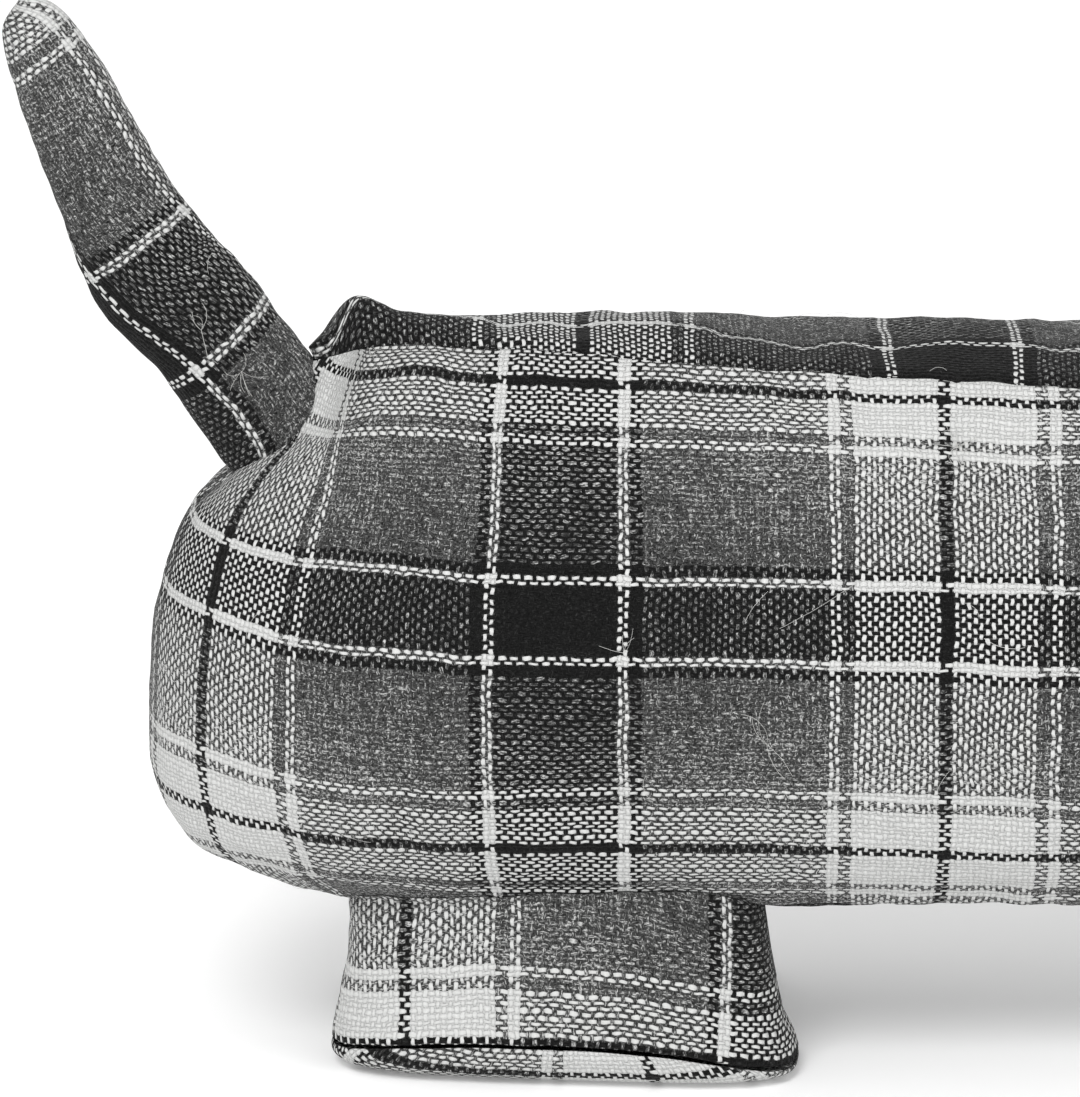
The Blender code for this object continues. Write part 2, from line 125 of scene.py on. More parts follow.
def cutCloth(name, places, threads, seamDistance):
    # a flat grid of cloth, laid in its place; threads holds the warp and weft count at each corner
    rows, columns = places.shape[:2]
    selectOnly()
    bpy.ops.mesh.primitive_grid_add(x_subdivisions=columns - 1, y_subdivisions=rows - 1, size=1.0)
    piece = bpy.context.object
    piece.name = piece.data.name = name
    mesh = piece.data
    flat = coordinates(piece)
    column = np.rint((flat[:, 0] + 0.5) * (columns - 1)).astype(int)
    row = np.rint((flat[:, 1] + 0.5) * (rows - 1)).astype(int)
    placeVertices(piece, places[row, column])
    layThreads(mesh, threads[row, column])
    distance = mesh.attributes.new("seamDistance", "FLOAT", "POINT")
    distance.data.foreach_set("value", seamDistance[row, column].astype(np.float32))
    mesh.materials.append(bpy.data.materials.new(name + "Mark"))
    return piece


def sew(name, pieces):
    selectOnly(*pieces)
    if len(pieces) > 1:
        bpy.ops.object.join()
    piece = bpy.context.object
    piece.name = piece.data.name = name

    def close():
        bpy.ops.mesh.select_all(action="SELECT")
        bpy.ops.mesh.remove_doubles(threshold=0.00002)
        bpy.ops.mesh.dissolve_degenerate(threshold=0.000001)
        bpy.ops.mesh.normals_make_consistent(inside=False)

    inEditMode(piece, close)
    return piece


def subdivide(piece):
    selectOnly(piece)
    smooth = piece.modifiers.new("Smooth", "SUBSURF")
    smooth.levels = smooth.render_levels = 1
    smooth.uv_smooth = "PRESERVE_BOUNDARIES"
    bpy.ops.object.modifier_apply(modifier=smooth.name)


def finishCloth(piece, material):
    piece.data.materials.clear()
    piece.data.materials.append(material)
    zeros = np.zeros(len(piece.data.polygons), dtype=np.int32)
    piece.data.polygons.foreach_set("material_index", zeros)
    selectOnly(piece)
    bpy.ops.object.shade_smooth()


def roundCorners(values, passes):
    for _ in range(passes):
        values[1:-1] = 0.25 * values[:-2] + 0.5 * values[1:-1] + 0.25 * values[2:]
    return values


def easedTable(rows, count, riseLength=1.0, crowding=0.0):
    # fills a short table of sizes in to many rows, even along its first two columns, and rounds its corners
    table = np.array(rows, dtype=float)
    along = arcAlong(table[:, :2] * np.array([riseLength, 1.0]))
    fine = np.linspace(0.0, along[-1], 400)
    filled = roundCorners(np.column_stack([np.interp(fine, along, column) for column in table.T]), 40)
    share = np.linspace(0.0, 1.0, count)
    share = share - crowding * np.sin(2.0 * math.pi * share) / (2.0 * math.pi)
    return np.column_stack([np.interp(share * along[-1], fine, column) for column in filled.T])


def bell(value, middle, reach):
    return np.exp(-((value - middle) / reach) ** 2)


def eased(value):
    value = np.clip(value, 0.0, 1.0)
    return value * value * (3.0 - 2.0 * value)


def arcAlong(places):
    steps = np.linalg.norm(np.diff(places, axis=0), axis=1)
    return np.concatenate([[0.0], np.cumsum(steps)])


def arcDown(places):
    # the same down each column of a grid
    return np.array([arcAlong(places[:, column]) for column in range(places.shape[1])]).T


# Shader maths as expressions

class Number:
    def __init__(self, paint, socket):
        self.paint = paint
        self.socket = socket

    def by(self, operation, *others):
        values = {0: self.socket}
        for place, other in enumerate(others):
            values[place + 1] = other.socket if isinstance(other, Number) else other
        made = self.paint.add("ShaderNodeMath", {"operation": operation}, values)
        return Number(self.paint, made.outputs[0])

    def flipped(self, operation, other):
        made = self.paint.add("ShaderNodeMath", {"operation": operation}, {0: other, 1: self.socket})
        return Number(self.paint, made.outputs[0])

    def __add__(self, other): return self.by("ADD", other)
    def __radd__(self, other): return self.by("ADD", other)
    def __sub__(self, other): return self.by("SUBTRACT", other)
    def __rsub__(self, other): return self.flipped("SUBTRACT", other)
    def __mul__(self, other): return self.by("MULTIPLY", other)
    def __rmul__(self, other): return self.by("MULTIPLY", other)
    def __truediv__(self, other): return self.by("DIVIDE", other)
    def __pow__(self, other): return self.by("POWER", other)
    def __gt__(self, other): return self.by("GREATER_THAN", other)
    def __lt__(self, other): return self.by("LESS_THAN", other)


class Paint:
    def __init__(self, name):
        self.material = bpy.data.materials.new(name)
        self.material.use_nodes = True
        self.tree = self.material.node_tree
        self.shader = self.tree.nodes["Principled BSDF"]

    def add(self, kind, settings=None, values=None):
        node = self.tree.nodes.new(kind)
        for setting, value in (settings or {}).items():
            if setting == "stops":
                self.setStops(node.color_ramp, value)
            elif setting == "steps":
                node.color_ramp.interpolation = value
            else:
                setattr(node, setting, value)
        for place, value in (values or {}).items():
            if isinstance(value, Number):
                value = value.socket
            if isinstance(value, bpy.types.NodeSocket):
                self.tree.links.new(value, node.inputs[place])
            else:
                node.inputs[place].default_value = value
        return node

    def setStops(self, ramp, stops):
        while len(ramp.elements) > 1:
            ramp.elements.remove(ramp.elements[-1])
        ramp.elements[0].position = stops[0][0]
        ramp.elements[0].color = (stops[0][1],) * 3 + (1.0,)
        for place, tone in stops[1:]:
            made = ramp.elements.new(place)
            made.color = (tone,) * 3 + (1.0,)

    def number(self, socket):
        return Number(self, socket)

    def noise(self, x, y, z, scale=1.0, detail=2.0, roughness=0.5):
        place = self.add("ShaderNodeCombineXYZ", None, {0: x, 1: y, 2: z})
        values = {"Vector": place.outputs[0], "Scale": scale, "Detail": detail, "Roughness": roughness}
        made = self.add("ShaderNodeTexNoise", {"noise_dimensions": "3D"}, values)
        return self.number(made.outputs[0])

    def placeInObject(self):
        place = self.add("ShaderNodeTexCoord").outputs["Object"]
        split = self.add("ShaderNodeSeparateXYZ", None, {0: place})
        return [self.number(socket) for socket in split.outputs]

    def scatter(self, x, y):
        place = self.add("ShaderNodeCombineXYZ", None, {0: x, 1: y})
        made = self.add("ShaderNodeTexWhiteNoise", {"noise_dimensions": "2D"}, {"Vector": place.outputs[0]})
        return self.number(made.outputs[0])

    def ramped(self, value):
        # from 0 to 1, eased at both ends
        value = value.by("MAXIMUM", 0.0).by("MINIMUM", 1.0)
        return value * value * (3.0 - value * 2.0)

    def tinted(self, tone, red, blue):
        # a grey that leans a little to red or blue
        return self.add("ShaderNodeCombineColor", None, {0: tone * red, 1: tone, 2: tone * blue}).outputs[0]

    def stripes(self, count, stops, half):
        # the tone of the thread with this count, from a table of where each stripe starts
        shares = [(start / half, tone) for start, tone in stops]
        made = self.add("ShaderNodeValToRGB", {"steps": "CONSTANT", "stops": shares}, {0: count / half})
        return self.number(made.outputs[0])

    def blend(self, share, one, two):
        # numbers only: one where share is 0, two where it is 1
        return one + (two - one) * share

    def set(self, **values):
        for name, value in values.items():
            place = self.shader.inputs[name.replace("_", " ")]
            if isinstance(value, Number):
                value = value.socket
            if isinstance(value, bpy.types.NodeSocket):
                self.tree.links.new(value, place)
            else:
                place.default_value = value


# The woven check: half of each repeat, counted in threads from the middle of the black band

weave = {
    "warpPitch": 0.00152,
    "weftPitch": 0.00130,
    "warpHalf": 63,
    "warpStops": [(0, 0.0), (10, 1.0), (12, 0.0), (14, 0.5), (44, 1.0), (46, 0.5), (48, 1.0), (62, 0.0)],
    "warpGrey": (14, 44),
    "weftHalf": 46,
    "weftStops": [(0, 0.0), (7, 1.0), (9, 0.0), (11, 0.5), (33, 1.0), (35, 0.5), (37, 1.0), (45, 0.0)],
    "weftGrey": (11, 33),
    "thickWeft": 1.16,               # two thick wefts, then two thin ones
    "wander": (1.1, 1.0),            # how far warps and wefts drift, in threads
    "bend": (0.42, 0.52),            # and how far they bend between two crossings
    "wave": 0.60,
    "warpWidth": 0.285, "warpRound": 0.42,
    "weftWidth": 0.305, "weftRound": 0.46,
    "slub": 0.16,                    # how much a thread's width varies
    "gapDepth": 0.5,
    "weftLead": 0.08,                # how much the wefts stand over the warps
    "blackCover": 0.05,              # the black wefts are thicker
    "taper": 0.14,                   # a thread narrows as it dives
    "paintedGapShades": (0.40, 0.038),       # painted shade in the holes between two white threads, and between two grey ones
    "blackTone": 0.0070,
    "greyTone": 0.062, "greyRise": (0.55, 0.95),   # the grey yarn lightens towards the white stripes
    "whiteTone": 0.620,
    "fleck": 10.5, "blackFleck": 6.5, "whiteFleck": 0.40,
    "greyStreak": 1.8, "whiteStreak": 0.12,
    "edgeShade": (0.62, 0.42),       # painted shade darkens a thread where it lies low at its edges: other yarns, white yarn
    "fibreRelief": 0.45,
    "bump": 0.00050,
}


def makeWovenCheck(name):
    w = weave
    paint = Paint(name)
    chart = paint.add("ShaderNodeUVMap", {"uv_map": "threads"})
    split = paint.add("ShaderNodeSeparateXYZ", None, {0: chart.outputs[0]})
    warp = paint.number(split.outputs[0])
    weft = paint.number(split.outputs[1])

    # threads wander slowly, and each bends a little at its crossings
    sway = paint.noise(warp, weft, 3.0, scale=0.11, detail=1.0)
    swerve = paint.noise(warp, weft, 21.0, scale=0.13, detail=1.0)
    warp = warp + (sway - 0.5) * w["wander"][0]
    weft = weft + (swerve - 0.5) * w["wander"][1]
    warp = warp + (paint.noise(warp * 0.5, weft, 40.0, scale=0.9, detail=0.0) - 0.5) * w["bend"][0]
    weft = weft + (paint.noise(warp, weft * 0.6, 9.0, scale=0.8, detail=0.0) - 0.5) * w["bend"][1]

    warpIndex = warp.by("FLOOR")
    acrossWarp = warp - warpIndex - 0.5
    four = (weft / 4.0).by("FLOOR") * 4.0
    place = weft - four
    isThick = place < (2.0 * w["thickWeft"])
    row = paint.blend(isThick, (place - 2.0 * w["thickWeft"]) / (2.0 - w["thickWeft"]) + 2.0,
                      place / w["thickWeft"])
    weftPlace = four + row
    weftIndex = weftPlace.by("FLOOR")
    acrossWeft = weftPlace - weftIndex - 0.5

    # each thread is a round wave that goes over one and under the next
    side = 1.0 - (warpIndex + weftIndex).by("FLOORED_MODULO", 2.0) * 2.0
    chance = paint.scatter(warpIndex, weftIndex)
    slub = paint.blend(0.5, chance, paint.noise(warpIndex * 3.1, weft * 0.35, 11.0, detail=1.0)) - 0.5
    knot = paint.blend(0.5, chance, paint.noise(warp * 0.35, weftIndex * 3.1, 31.0, detail=1.0)) - 0.5
    warpWave = (acrossWeft * math.pi).by("COSINE") * side
    weftWave = (acrossWarp * math.pi).by("COSINE") * side * -1.0
    warpCount = (warpIndex + 0.5).by("PINGPONG", float(w["warpHalf"]))
    weftCount = (weftIndex + 0.5).by("PINGPONG", float(w["weftHalf"]))
    warpTone = paint.stripes(warpCount, w["warpStops"], w["warpHalf"])
    weftTone = paint.stripes(weftCount, w["weftStops"], w["weftHalf"])
    cover = (weftTone < 0.25) * w["blackCover"]
    taper = w["taper"]
    warpSpan = acrossWarp / ((slub * w["slub"] + w["warpWidth"]) * (warpWave * taper + 1.0 - taper * 0.2))
    weftSpan = acrossWeft / ((knot * w["slub"] + w["weftWidth"] + cover)
                             * (weftWave * taper + 1.0 - taper * 0.2))
    warpRound = (1.0 - warpSpan.by("ABSOLUTE") ** 3.0).by("MAXIMUM", 0.0).by("SQRT")
    weftRound = (1.0 - weftSpan.by("ABSOLUTE") ** 3.0).by("MAXIMUM", 0.0).by("SQRT")
    noWarp = warpRound < 0.01
    noWeft = weftRound < 0.01
    warpHeight = warpWave * w["wave"] + warpRound * w["warpRound"] - noWarp * 3.0
    lead = (paint.noise(warp * 0.09, weftIndex * 1.7, 50.0, detail=1.0) - 0.5) * 0.9 + w["weftLead"]
    weftHeight = weftWave * w["wave"] + weftRound * w["weftRound"] + lead + cover - noWeft * 3.0
    warpOnTop = warpHeight > weftHeight
    height = warpHeight.by("MAXIMUM", weftHeight).by("MAXIMUM", -w["gapDepth"] - 0.05)
    gap = height < -w["gapDepth"]

    warpRise = paint.ramped((warpCount - w["warpGrey"][0]) / (w["warpGrey"][1] - w["warpGrey"][0]))
    weftRise = paint.ramped((weftCount - w["weftGrey"][0]) / (w["weftGrey"][1] - w["weftGrey"][0]))
    tone = paint.blend(warpOnTop, weftTone, warpTone)
    other = paint.blend(warpOnTop, warpTone, weftTone)
    rise = paint.blend(warpOnTop, weftRise * w["greyRise"][1], warpRise * w["greyRise"][0])

    # fibres run along the thread that lies on top
    warpFibre = paint.noise(warp * 4.4, weft * 1.6, warpIndex * 7.3, detail=2.0, roughness=0.6)
    weftFibre = paint.noise(warp * 1.6, weft * 4.0, weftIndex * 5.7 + 100.0, detail=2.0, roughness=0.6)
    fibre = paint.blend(warpOnTop, weftFibre, warpFibre) - 0.5
    streak = paint.blend(warpOnTop,
                         paint.noise(warp * 0.10, weftIndex * 1.7, 60.0, detail=2.0),
                         paint.noise(warpIndex * 1.7, weft * 0.10, 80.0, detail=2.0)) - 0.5
    speck = fibre + (chance - 0.5) * 0.06

    isWhite = tone > 0.75
    isGrey = (tone > 0.25) * (1.0 - isWhite)
    isBlack = 1.0 - isWhite - isGrey
    grey = (speck * w["fleck"] + streak * w["greyStreak"] + rise).by("EXPONENT") * w["greyTone"]
    grey = grey.by("MINIMUM", 0.55)
    white = w["whiteTone"] * (1.0 + speck * w["whiteFleck"] + streak * w["whiteStreak"])
    black = (speck * w["blackFleck"]).by("EXPONENT") * w["blackTone"]
    colour = isGrey * grey + isWhite * white + isBlack * black
    # painted shade: each yarn's colour is darkened where the cloth's height is low, at thread edges and dips,
    # less on white yarn
    low = 1.0 - paint.ramped((height + 0.1) / 0.75)
    shade = paint.blend(isWhite, 1.0 - low * w["edgeShade"][0], 1.0 - low * w["edgeShade"][1])
    # painted shade fills the holes between threads: lighter where white yarns surround them, near black among
    # grey and black ones
    bothWhite = isWhite * (other > 0.75)
    bothGrey = isGrey * (other > 0.25) * (other < 0.75)
    paintedGapShade = bothWhite * w["paintedGapShades"][0] + bothGrey * w["paintedGapShades"][1] + isWhite * 0.05
    paintedGapShade = paintedGapShade + (other > 0.75) * 0.03 + 0.006
    colour = paint.blend(gap, colour * shade, paintedGapShade)
    relief = height + fibre * w["fibreRelief"]
    bump = paint.add("ShaderNodeBump", None, {"Strength": 0.9, "Distance": w["bump"], "Height": relief})
    paint.set(Base_Color=paint.tinted(colour, 0.995, 0.985), Roughness=0.95, Normal=bump.outputs[0])
    paint.set(Specular_IOR_Level=0.10, Sheen_Weight=0.05, Sheen_Roughness=0.5)
    return paint.material


checkCloth = makeWovenCheck("wovenCheck")
print("woven check mixed")


# The body: one band round the sides, a back panel and a belly panel, sewn together and filled

body = {
    "length": 0.700, "depth": 0.135,
    "bellyHeight": 0.045,
    # rise, half width, setback of the ends, length of the end's rounding
    "levels": [
        (0.00, 0.0380, 0.032, 0.055),
        (0.02, 0.0440, 0.020, 0.065),
        (0.06, 0.0500, 0.009, 0.074),
        (0.14, 0.0555, 0.003, 0.079),
        (0.24, 0.0580, 0.000, 0.081),
        (0.35, 0.0590, 0.000, 0.082),
        (0.48, 0.0580, 0.001, 0.082),
        (0.59, 0.0555, 0.004, 0.080),
        (0.70, 0.0515, 0.009, 0.076),
        (0.80, 0.0465, 0.016, 0.066),
        (0.89, 0.0410, 0.025, 0.052),
        (0.95, 0.0375, 0.032, 0.032),
        (1.00, 0.0350, 0.0395, 0.014),
    ],
    "endSquareness": 0.80,
    "pinch": 0.029, "pinchStart": 0.050, "pinchReach": 0.090, "pinchFrom": 0.55, "chestShare": 0.5,
    # place along the back and height there: the seam climbs to the rump corner, and the panel's end stands up
    "seamLine": [
        (0.000, 0.1770), (0.040, 0.1775), (0.054, 0.1822), (0.064, 0.1843), (0.084, 0.1850), (0.114, 0.1846),
        (0.139, 0.1831), (0.171, 0.1818), (0.202, 0.1803), (0.234, 0.1787), (0.300, 0.1775), (0.700, 0.1770),
    ],
    "crestLine": [
        (0.000, 0.1775), (0.040, 0.1795), (0.0435, 0.1850), (0.047, 0.1915), (0.051, 0.1952), (0.055, 0.1950),
        (0.059, 0.1930), (0.064, 0.1900), (0.076, 0.1880), (0.089, 0.1870), (0.114, 0.1876), (0.139, 0.1868),
        (0.164, 0.1828), (0.350, 0.1834), (0.640, 0.1830), (0.656, 0.1800), (0.662, 0.1770), (0.700, 0.1770),
    ],
    "dimple": 0.006, "dimpleHalfWidth": 0.014, "dimpleRise": 0.84, "dimpleRiseReach": 0.09,
    "rows": 46, "crowding": 0.55, "endColumns": 34, "sideColumns": 112, "endSplit": 0.105,
    "backRows": 15, "bellyRows": 9,
    "bedDepth": 0.0027, "bedReach": 0.0050, "panelThickness": 0.0021,
    "threadX": 0.1025, "threadZ": 0.125,           # where the middle of the black stripes stands
    "middleRise": 0.45, "columnShare": 0.55,       # how far warps stand over each other, as at this rise
    "rumpWarpShift": 2.5, "rumpWeftShift": 4.6,    # the checks lean and climb round the rump, in threads
    "rumpReach": 0.092,
    # place along the side, then how far the wefts of slipAt slip down there, in threads
    "slipAt": (-46, -8, 8, 34, 46),
    "slip": [
        (0.014, 1.6, 0.0, 2.4, 1.0, 0.0),
        (0.039, 2.6, 1.6, 2.2, -0.6, -2.0),
        (0.064, 1.8, 0.0, -0.2, -2.6, -4.0),
        (0.073, 1.6, 0.0, 0.4, -3.2, -4.6),
        (0.112, 1.4, 0.2, 1.2, -0.8, -0.4),
        (0.139, 1.7, 0.4, 1.2, 0.2, 0.6),
        (0.174, 2.1, 1.0, 1.8, 1.5, 3.2),
        (0.221, 4.1, 2.0, 2.7, 4.2, 5.0),
    ],
    "chestColumn": 0.0042,           # cloth between two columns at the chest, where the band is closed
    "dart": [(0.0520, 0.1800), (0.0472, 0.1680)],  # place and height of a short dart under the rump corner
    "dartHeight": 0.148, "dartRise": 0.020, "dartHalf": 0.002, "dartShare": 0.33,
    # the back panel's threads, and how its wefts turn down at the rump corner and run nearer beside it
    "backEdgeThread": -6.5, "backX": 0.2010, "backWarpPitch": 0.00146,
    "backEndTurn": (10.0, 0.0540, 0.0095), "backNearer": (3.2, 0.108, 0.035),
    "bellyThreads": (20.0, 12.0),
}


def pinchAt(x):
    rear = np.exp(-np.maximum(x - body["pinchStart"], 0.0) / body["pinchReach"])
    front = np.exp(-np.maximum(body["length"] - x - body["pinchStart"], 0.0) / body["pinchReach"])
    return body["pinch"] * (rear + body["chestShare"] * front)


def lineHeight(x, line):
    # reads a short table of places and heights, with its corners rounded
    table = np.array(line)
    fine = np.linspace(0.0, body["length"], 701)
    return np.interp(x, fine, roundCorners(np.interp(fine, table[:, 0], table[:, 1]), 8))


def backHeight(x, across):
    seam = lineHeight(x, body["seamLine"])
    crest = np.maximum(lineHeight(x, body["crestLine"]), seam)
    return seam + (crest - seam) * (1.0 - np.abs(across) ** 2.0)


def halfOutline(level):
    # one side of the band at one height, from the rump to the chest, finely
    rise, halfWidth, setback, endRound = level
    turn = np.linspace(0.0, 0.5 * math.pi, 200)
    rearX = setback + endRound * (1.0 - np.cos(turn))
    frontX = body["length"] - rearX[::-1]
    middleX = np.linspace(rearX[-1], frontX[0], 200)[1:-1]
    x = np.concatenate([rearX, middleX, frontX])
    turns = np.concatenate([turn, np.full(len(middleX), 0.5 * math.pi), turn[::-1]])
    share = eased((rise - body["pinchFrom"]) / (1.0 - body["pinchFrom"]))
    y = (halfWidth - share * pinchAt(x)) * np.maximum(np.sin(turns), 0.0) ** body["endSquareness"]
    return x, y


def halfColumns(level):
    # the same outline at the band's columns: even round each end, then at fixed lengths along the side
    x, y = halfOutline(level)
    along = arcAlong(np.column_stack([x, y]))
    split = body["endSplit"]
    rearArc = np.interp(split, x, along)
    frontArc = np.interp(body["length"] - split, x, along)
    ends = np.linspace(0.0, 1.0, body["endColumns"] + 1)
    side = np.interp(np.linspace(split, body["length"] - split, body["sideColumns"] + 1), x, along)
    picks = np.concatenate([ends[:-1] * rearArc, side, frontArc + ends[1:] * (along[-1] - frontArc)])
    start = np.interp(body["threadX"], x, along)
    return np.interp(picks, along, x), np.interp(picks, along, y), picks - start


def makeBodySkin():
    levels = easedTable(body["levels"], body["rows"], riseLength=body["depth"], crowding=body["crowding"])
    half = len(halfColumns(levels[0])[0])
    columns = 2 * half - 1
    places = np.zeros((body["rows"], columns, 3))
    arcs = np.zeros((body["rows"], columns))
    for row, level in enumerate(levels):
        x, y, arc = halfColumns(level)
        places[row, :, 0] = np.concatenate([x[::-1], x[1:]])
        places[row, :, 1] = np.concatenate([y[::-1], -y[1:]])
        arcs[row] = np.concatenate([arc[::-1], arc[1:]])
        top = lineHeight(places[row, :, 0], body["seamLine"])
        places[row, :, 2] = body["bellyHeight"] + level[0] * (top - body["bellyHeight"])
        dent = body["dimple"] * bell(level[0], body["dimpleRise"], body["dimpleRiseReach"])
        rear = places[row, :, 0] < body["length"] / 2
        places[row, :, 0] += rear * dent * bell(places[row, :, 1], 0.0, body["dimpleHalfWidth"])
    upward = arcDown(places)
    middleRow = int(np.argmin(np.abs(levels[:, 0] - body["middleRise"])))
    threads = np.zeros((body["rows"], columns, 2))
    byColumn = arcs[middleRow][None, :]
    # warps stand over each other round the rump, but past the dart they keep their own pitch
    x, height = places[:, :, 0], places[:, :, 2]
    dartTop, dartFoot = np.array(body["dart"])
    dartX = np.interp(height, [dartFoot[1], dartTop[1]], [dartFoot[0], dartTop[0]])
    pastDart = eased((x - dartX + body["dartHalf"]) / (2.0 * body["dartHalf"])) * (x < body["length"] / 2)
    own = body["dartShare"] * eased((height - body["dartHeight"]) / body["dartRise"]) * pastDart
    own = 1.0 - body["columnShare"] + own
    threads[:, :, 0] = ((1.0 - own) * byColumn + own * arcs) / weave["warpPitch"]
    for column in range(columns):
        start = np.interp(body["threadZ"], places[:, column, 2], upward[:, column])
        threads[:, column, 1] = (upward[:, column] - start) / weave["weftPitch"]
    rump = eased(1.0 - x / body["rumpReach"])
    threads[:, :, 0] -= body["rumpWarpShift"] * rump
    threads[:, :, 1] -= body["rumpWeftShift"] * rump
    slip = np.array(body["slip"])
    stations = [np.interp(x, slip[:, 0], column) for column in slip[:, 1:].T]
    for row in range(body["rows"]):
        for column in range(columns):
            here = [station[row, column] for station in stations]
            threads[row, column, 1] += np.interp(threads[row, column, 1], body["slipAt"], here)
    seamDistance = np.minimum(upward, upward[-1][None, :] - upward)
    chest = np.minimum(np.arange(columns), np.arange(columns)[::-1])[None, :] * body["chestColumn"]
    fromTop = places[:, :, ::2] - dartTop
    line = dartFoot - dartTop
    share = np.clip((fromTop @ line) / np.sum(line ** 2), 0.0, 1.0)
    dart = np.linalg.norm(fromTop - share[:, :, None] * line, axis=2)
    band = cutCloth("band", places, threads, np.minimum(np.minimum(seamDistance, chest), dart))

    near = places[-1, half - 1:]
    far = places[-1, half - 1::-1]
    across = np.linspace(-1.0, 1.0, body["backRows"])
    across = np.sin(across * 0.5 * math.pi)
    backPlaces = np.zeros((body["backRows"], half, 3))
    backThreads = np.zeros((body["backRows"], half, 2))
    for row, share in enumerate(across):
        mixed = 0.5 * (1.0 - share) * near + 0.5 * (1.0 + share) * far
        mixed[:, 2] = backHeight(near[:, 0], share)
        backPlaces[row] = mixed
    sideways = arcDown(backPlaces)
    backThreads[:, :, 0] = (backPlaces[:, :, 0] - body["backX"]) / body["backWarpPitch"]
    backThreads[:, :, 1] = sideways / weave["weftPitch"] + body["backEdgeThread"]
    for most, start, reach in (body["backEndTurn"], body["backNearer"]):
        backThreads[:, :, 1] += most * eased((start - backPlaces[:, :, 0]) / reach)
    backSeam = np.minimum(sideways, sideways[-1][None, :] - sideways)
    back = cutCloth("back", backPlaces, backThreads, backSeam)

    near = places[0, half - 1:]
    far = places[0, half - 1::-1]
    bellyPlaces = np.zeros((body["bellyRows"], half, 3))
    for row, share in enumerate(np.linspace(0.0, 1.0, body["bellyRows"])):
        bellyPlaces[row] = far * (1.0 - share) + near * share
    pitches = np.array([weave["warpPitch"], weave["weftPitch"]])
    bellyThreads = bellyPlaces[:, :, :2] / pitches + np.array(body["bellyThreads"])
    sideways = np.abs(bellyPlaces[:, :, 1] - near[None, :, 1])
    bellySeam = np.minimum(sideways, sideways[0][None, :] - sideways)
    belly = cutCloth("belly", bellyPlaces, bellyThreads, np.abs(bellySeam))
    skin = sew("bodySkin", [band, back, belly])
    putAtRump(skin)
    return skin


def markedFaces(piece, word):
    names = [material.name for material in piece.data.materials]
    wanted = [index for index, name in enumerate(names) if name.startswith(word)]
    return np.isin(readAll(piece.data.polygons, "material_index", np.int32), wanted)


def seamVertices(piece):
    # where cloth of two panels meets
    mesh = piece.data
    seen = {}
    for face in mesh.polygons:
        for vertex in face.vertices:
            seen.setdefault(vertex, set()).add(face.material_index)
    return [vertex for vertex, marks in seen.items() if len(marks) > 1]


filling = {"pressure": 3.0, "frames": 16, "slack": 0.02, "tension": 12.0, "seamHold": 0.012,
           "bodyCap": 0.0024, "headCap": 0.0020}


def fill(piece, pinned, limit):
    # the sewn cloth swells under pressure, held at its seams, and no point moves past the limit
    rest = coordinates(piece)
    group = piece.vertex_groups.new(name="sewn")
    group.add([int(v) for v in pinned], 1.0, "REPLACE")
    cloth = piece.modifiers.new("Filling", "CLOTH")
    settings = cloth.settings
    settings.quality = 4
    settings.mass = 0.2
    settings.tension_stiffness = filling["tension"]
    settings.compression_stiffness = filling["tension"]
    settings.shear_stiffness = 4.0
    settings.bending_stiffness = 0.3
    settings.air_damping = 4.0
    settings.shrink_min = -filling["slack"]
    settings.use_pressure = True
    settings.uniform_pressure_force = filling["pressure"]
    settings.effector_weights.gravity = 0.0
    settings.vertex_group_mass = "sewn"
    cloth.collision_settings.use_collision = False
    cloth.collision_settings.use_self_collision = False
    cloth.point_cache.frame_start = 1
    cloth.point_cache.frame_end = filling["frames"]
    for step in range(1, filling["frames"] + 1):
        scene.frame_set(step)
    shown = piece.evaluated_get(bpy.context.evaluated_depsgraph_get())
    move = coordinates(shown) - rest
    piece.modifiers.remove(cloth)
    scene.frame_set(1)
    length = np.linalg.norm(move, axis=1)
    held = eased(seamDistances(piece) / filling["seamHold"])
    scale = held * limit * np.tanh(length / limit) / np.maximum(length, 1e-9)
    placeVertices(piece, rest + move * scale[:, None])
    piece.vertex_groups.clear()
    print("filled", piece.name, f"mean {length.mean() * 1000:.2f} mm, most {length.max() * 1000:.2f} mm")


seams = {"depth": 0.0016, "reach": 0.0024, "pucker": 0.0011, "puckerReach": 0.009, "puckerLength": 0.011,
         "puckerRise": 0.05}


def drawSeamsIn(piece, seed=0.0, share=1.0):
    # the cloth rolls into each seam, and small gathers run off it
    places = coordinates(piece)
    normals = vertexNormals(piece)
    distance = seamDistances(piece)
    sink = seams["depth"] * np.exp(-(distance / seams["reach"]) ** 2)
    close = np.nonzero(distance < 3.0 * seams["puckerReach"])[0]
    for index in close:
        x, y, z = places[index]
        spot = Vector((x / seams["puckerLength"] + seed, y / seams["puckerLength"], z / seams["puckerRise"]))
        wave = noise.noise(spot)
        d = distance[index] / seams["puckerReach"]
        sink[index] -= seams["pucker"] * wave * math.exp(-(d - 0.4) ** 2 * 1.5)
    placeVertices(piece, places - normals * sink[:, None] * share)


lumps = {"height": 0.0005, "length": 0.014, "smallHeight": 0.00032, "smallLength": 0.0048}


def crumple(piece, seed=0.0):
    # the filling pushes the cloth out unevenly
    places = coordinates(piece)
    normals = vertexNormals(piece)
    push = np.zeros(len(places))
    for index, place in enumerate(places):
        spot = Vector(place)
        large = noise.noise(spot / lumps["length"] + Vector((seed, 0.0, 0.0)))
        small = noise.noise(spot / lumps["smallLength"] + Vector((0.0, seed, 0.0)))
        push[index] = lumps["height"] * large + lumps["smallHeight"] * small
    placeVertices(piece, places + normals * push[:, None])


skin = makeBodySkin()
fill(skin, seamVertices(skin), filling["bodyCap"])
subdivide(skin)
crumple(skin)
drawSeamsIn(skin)
print("body skin sewn and filled", len(skin.data.polygons))


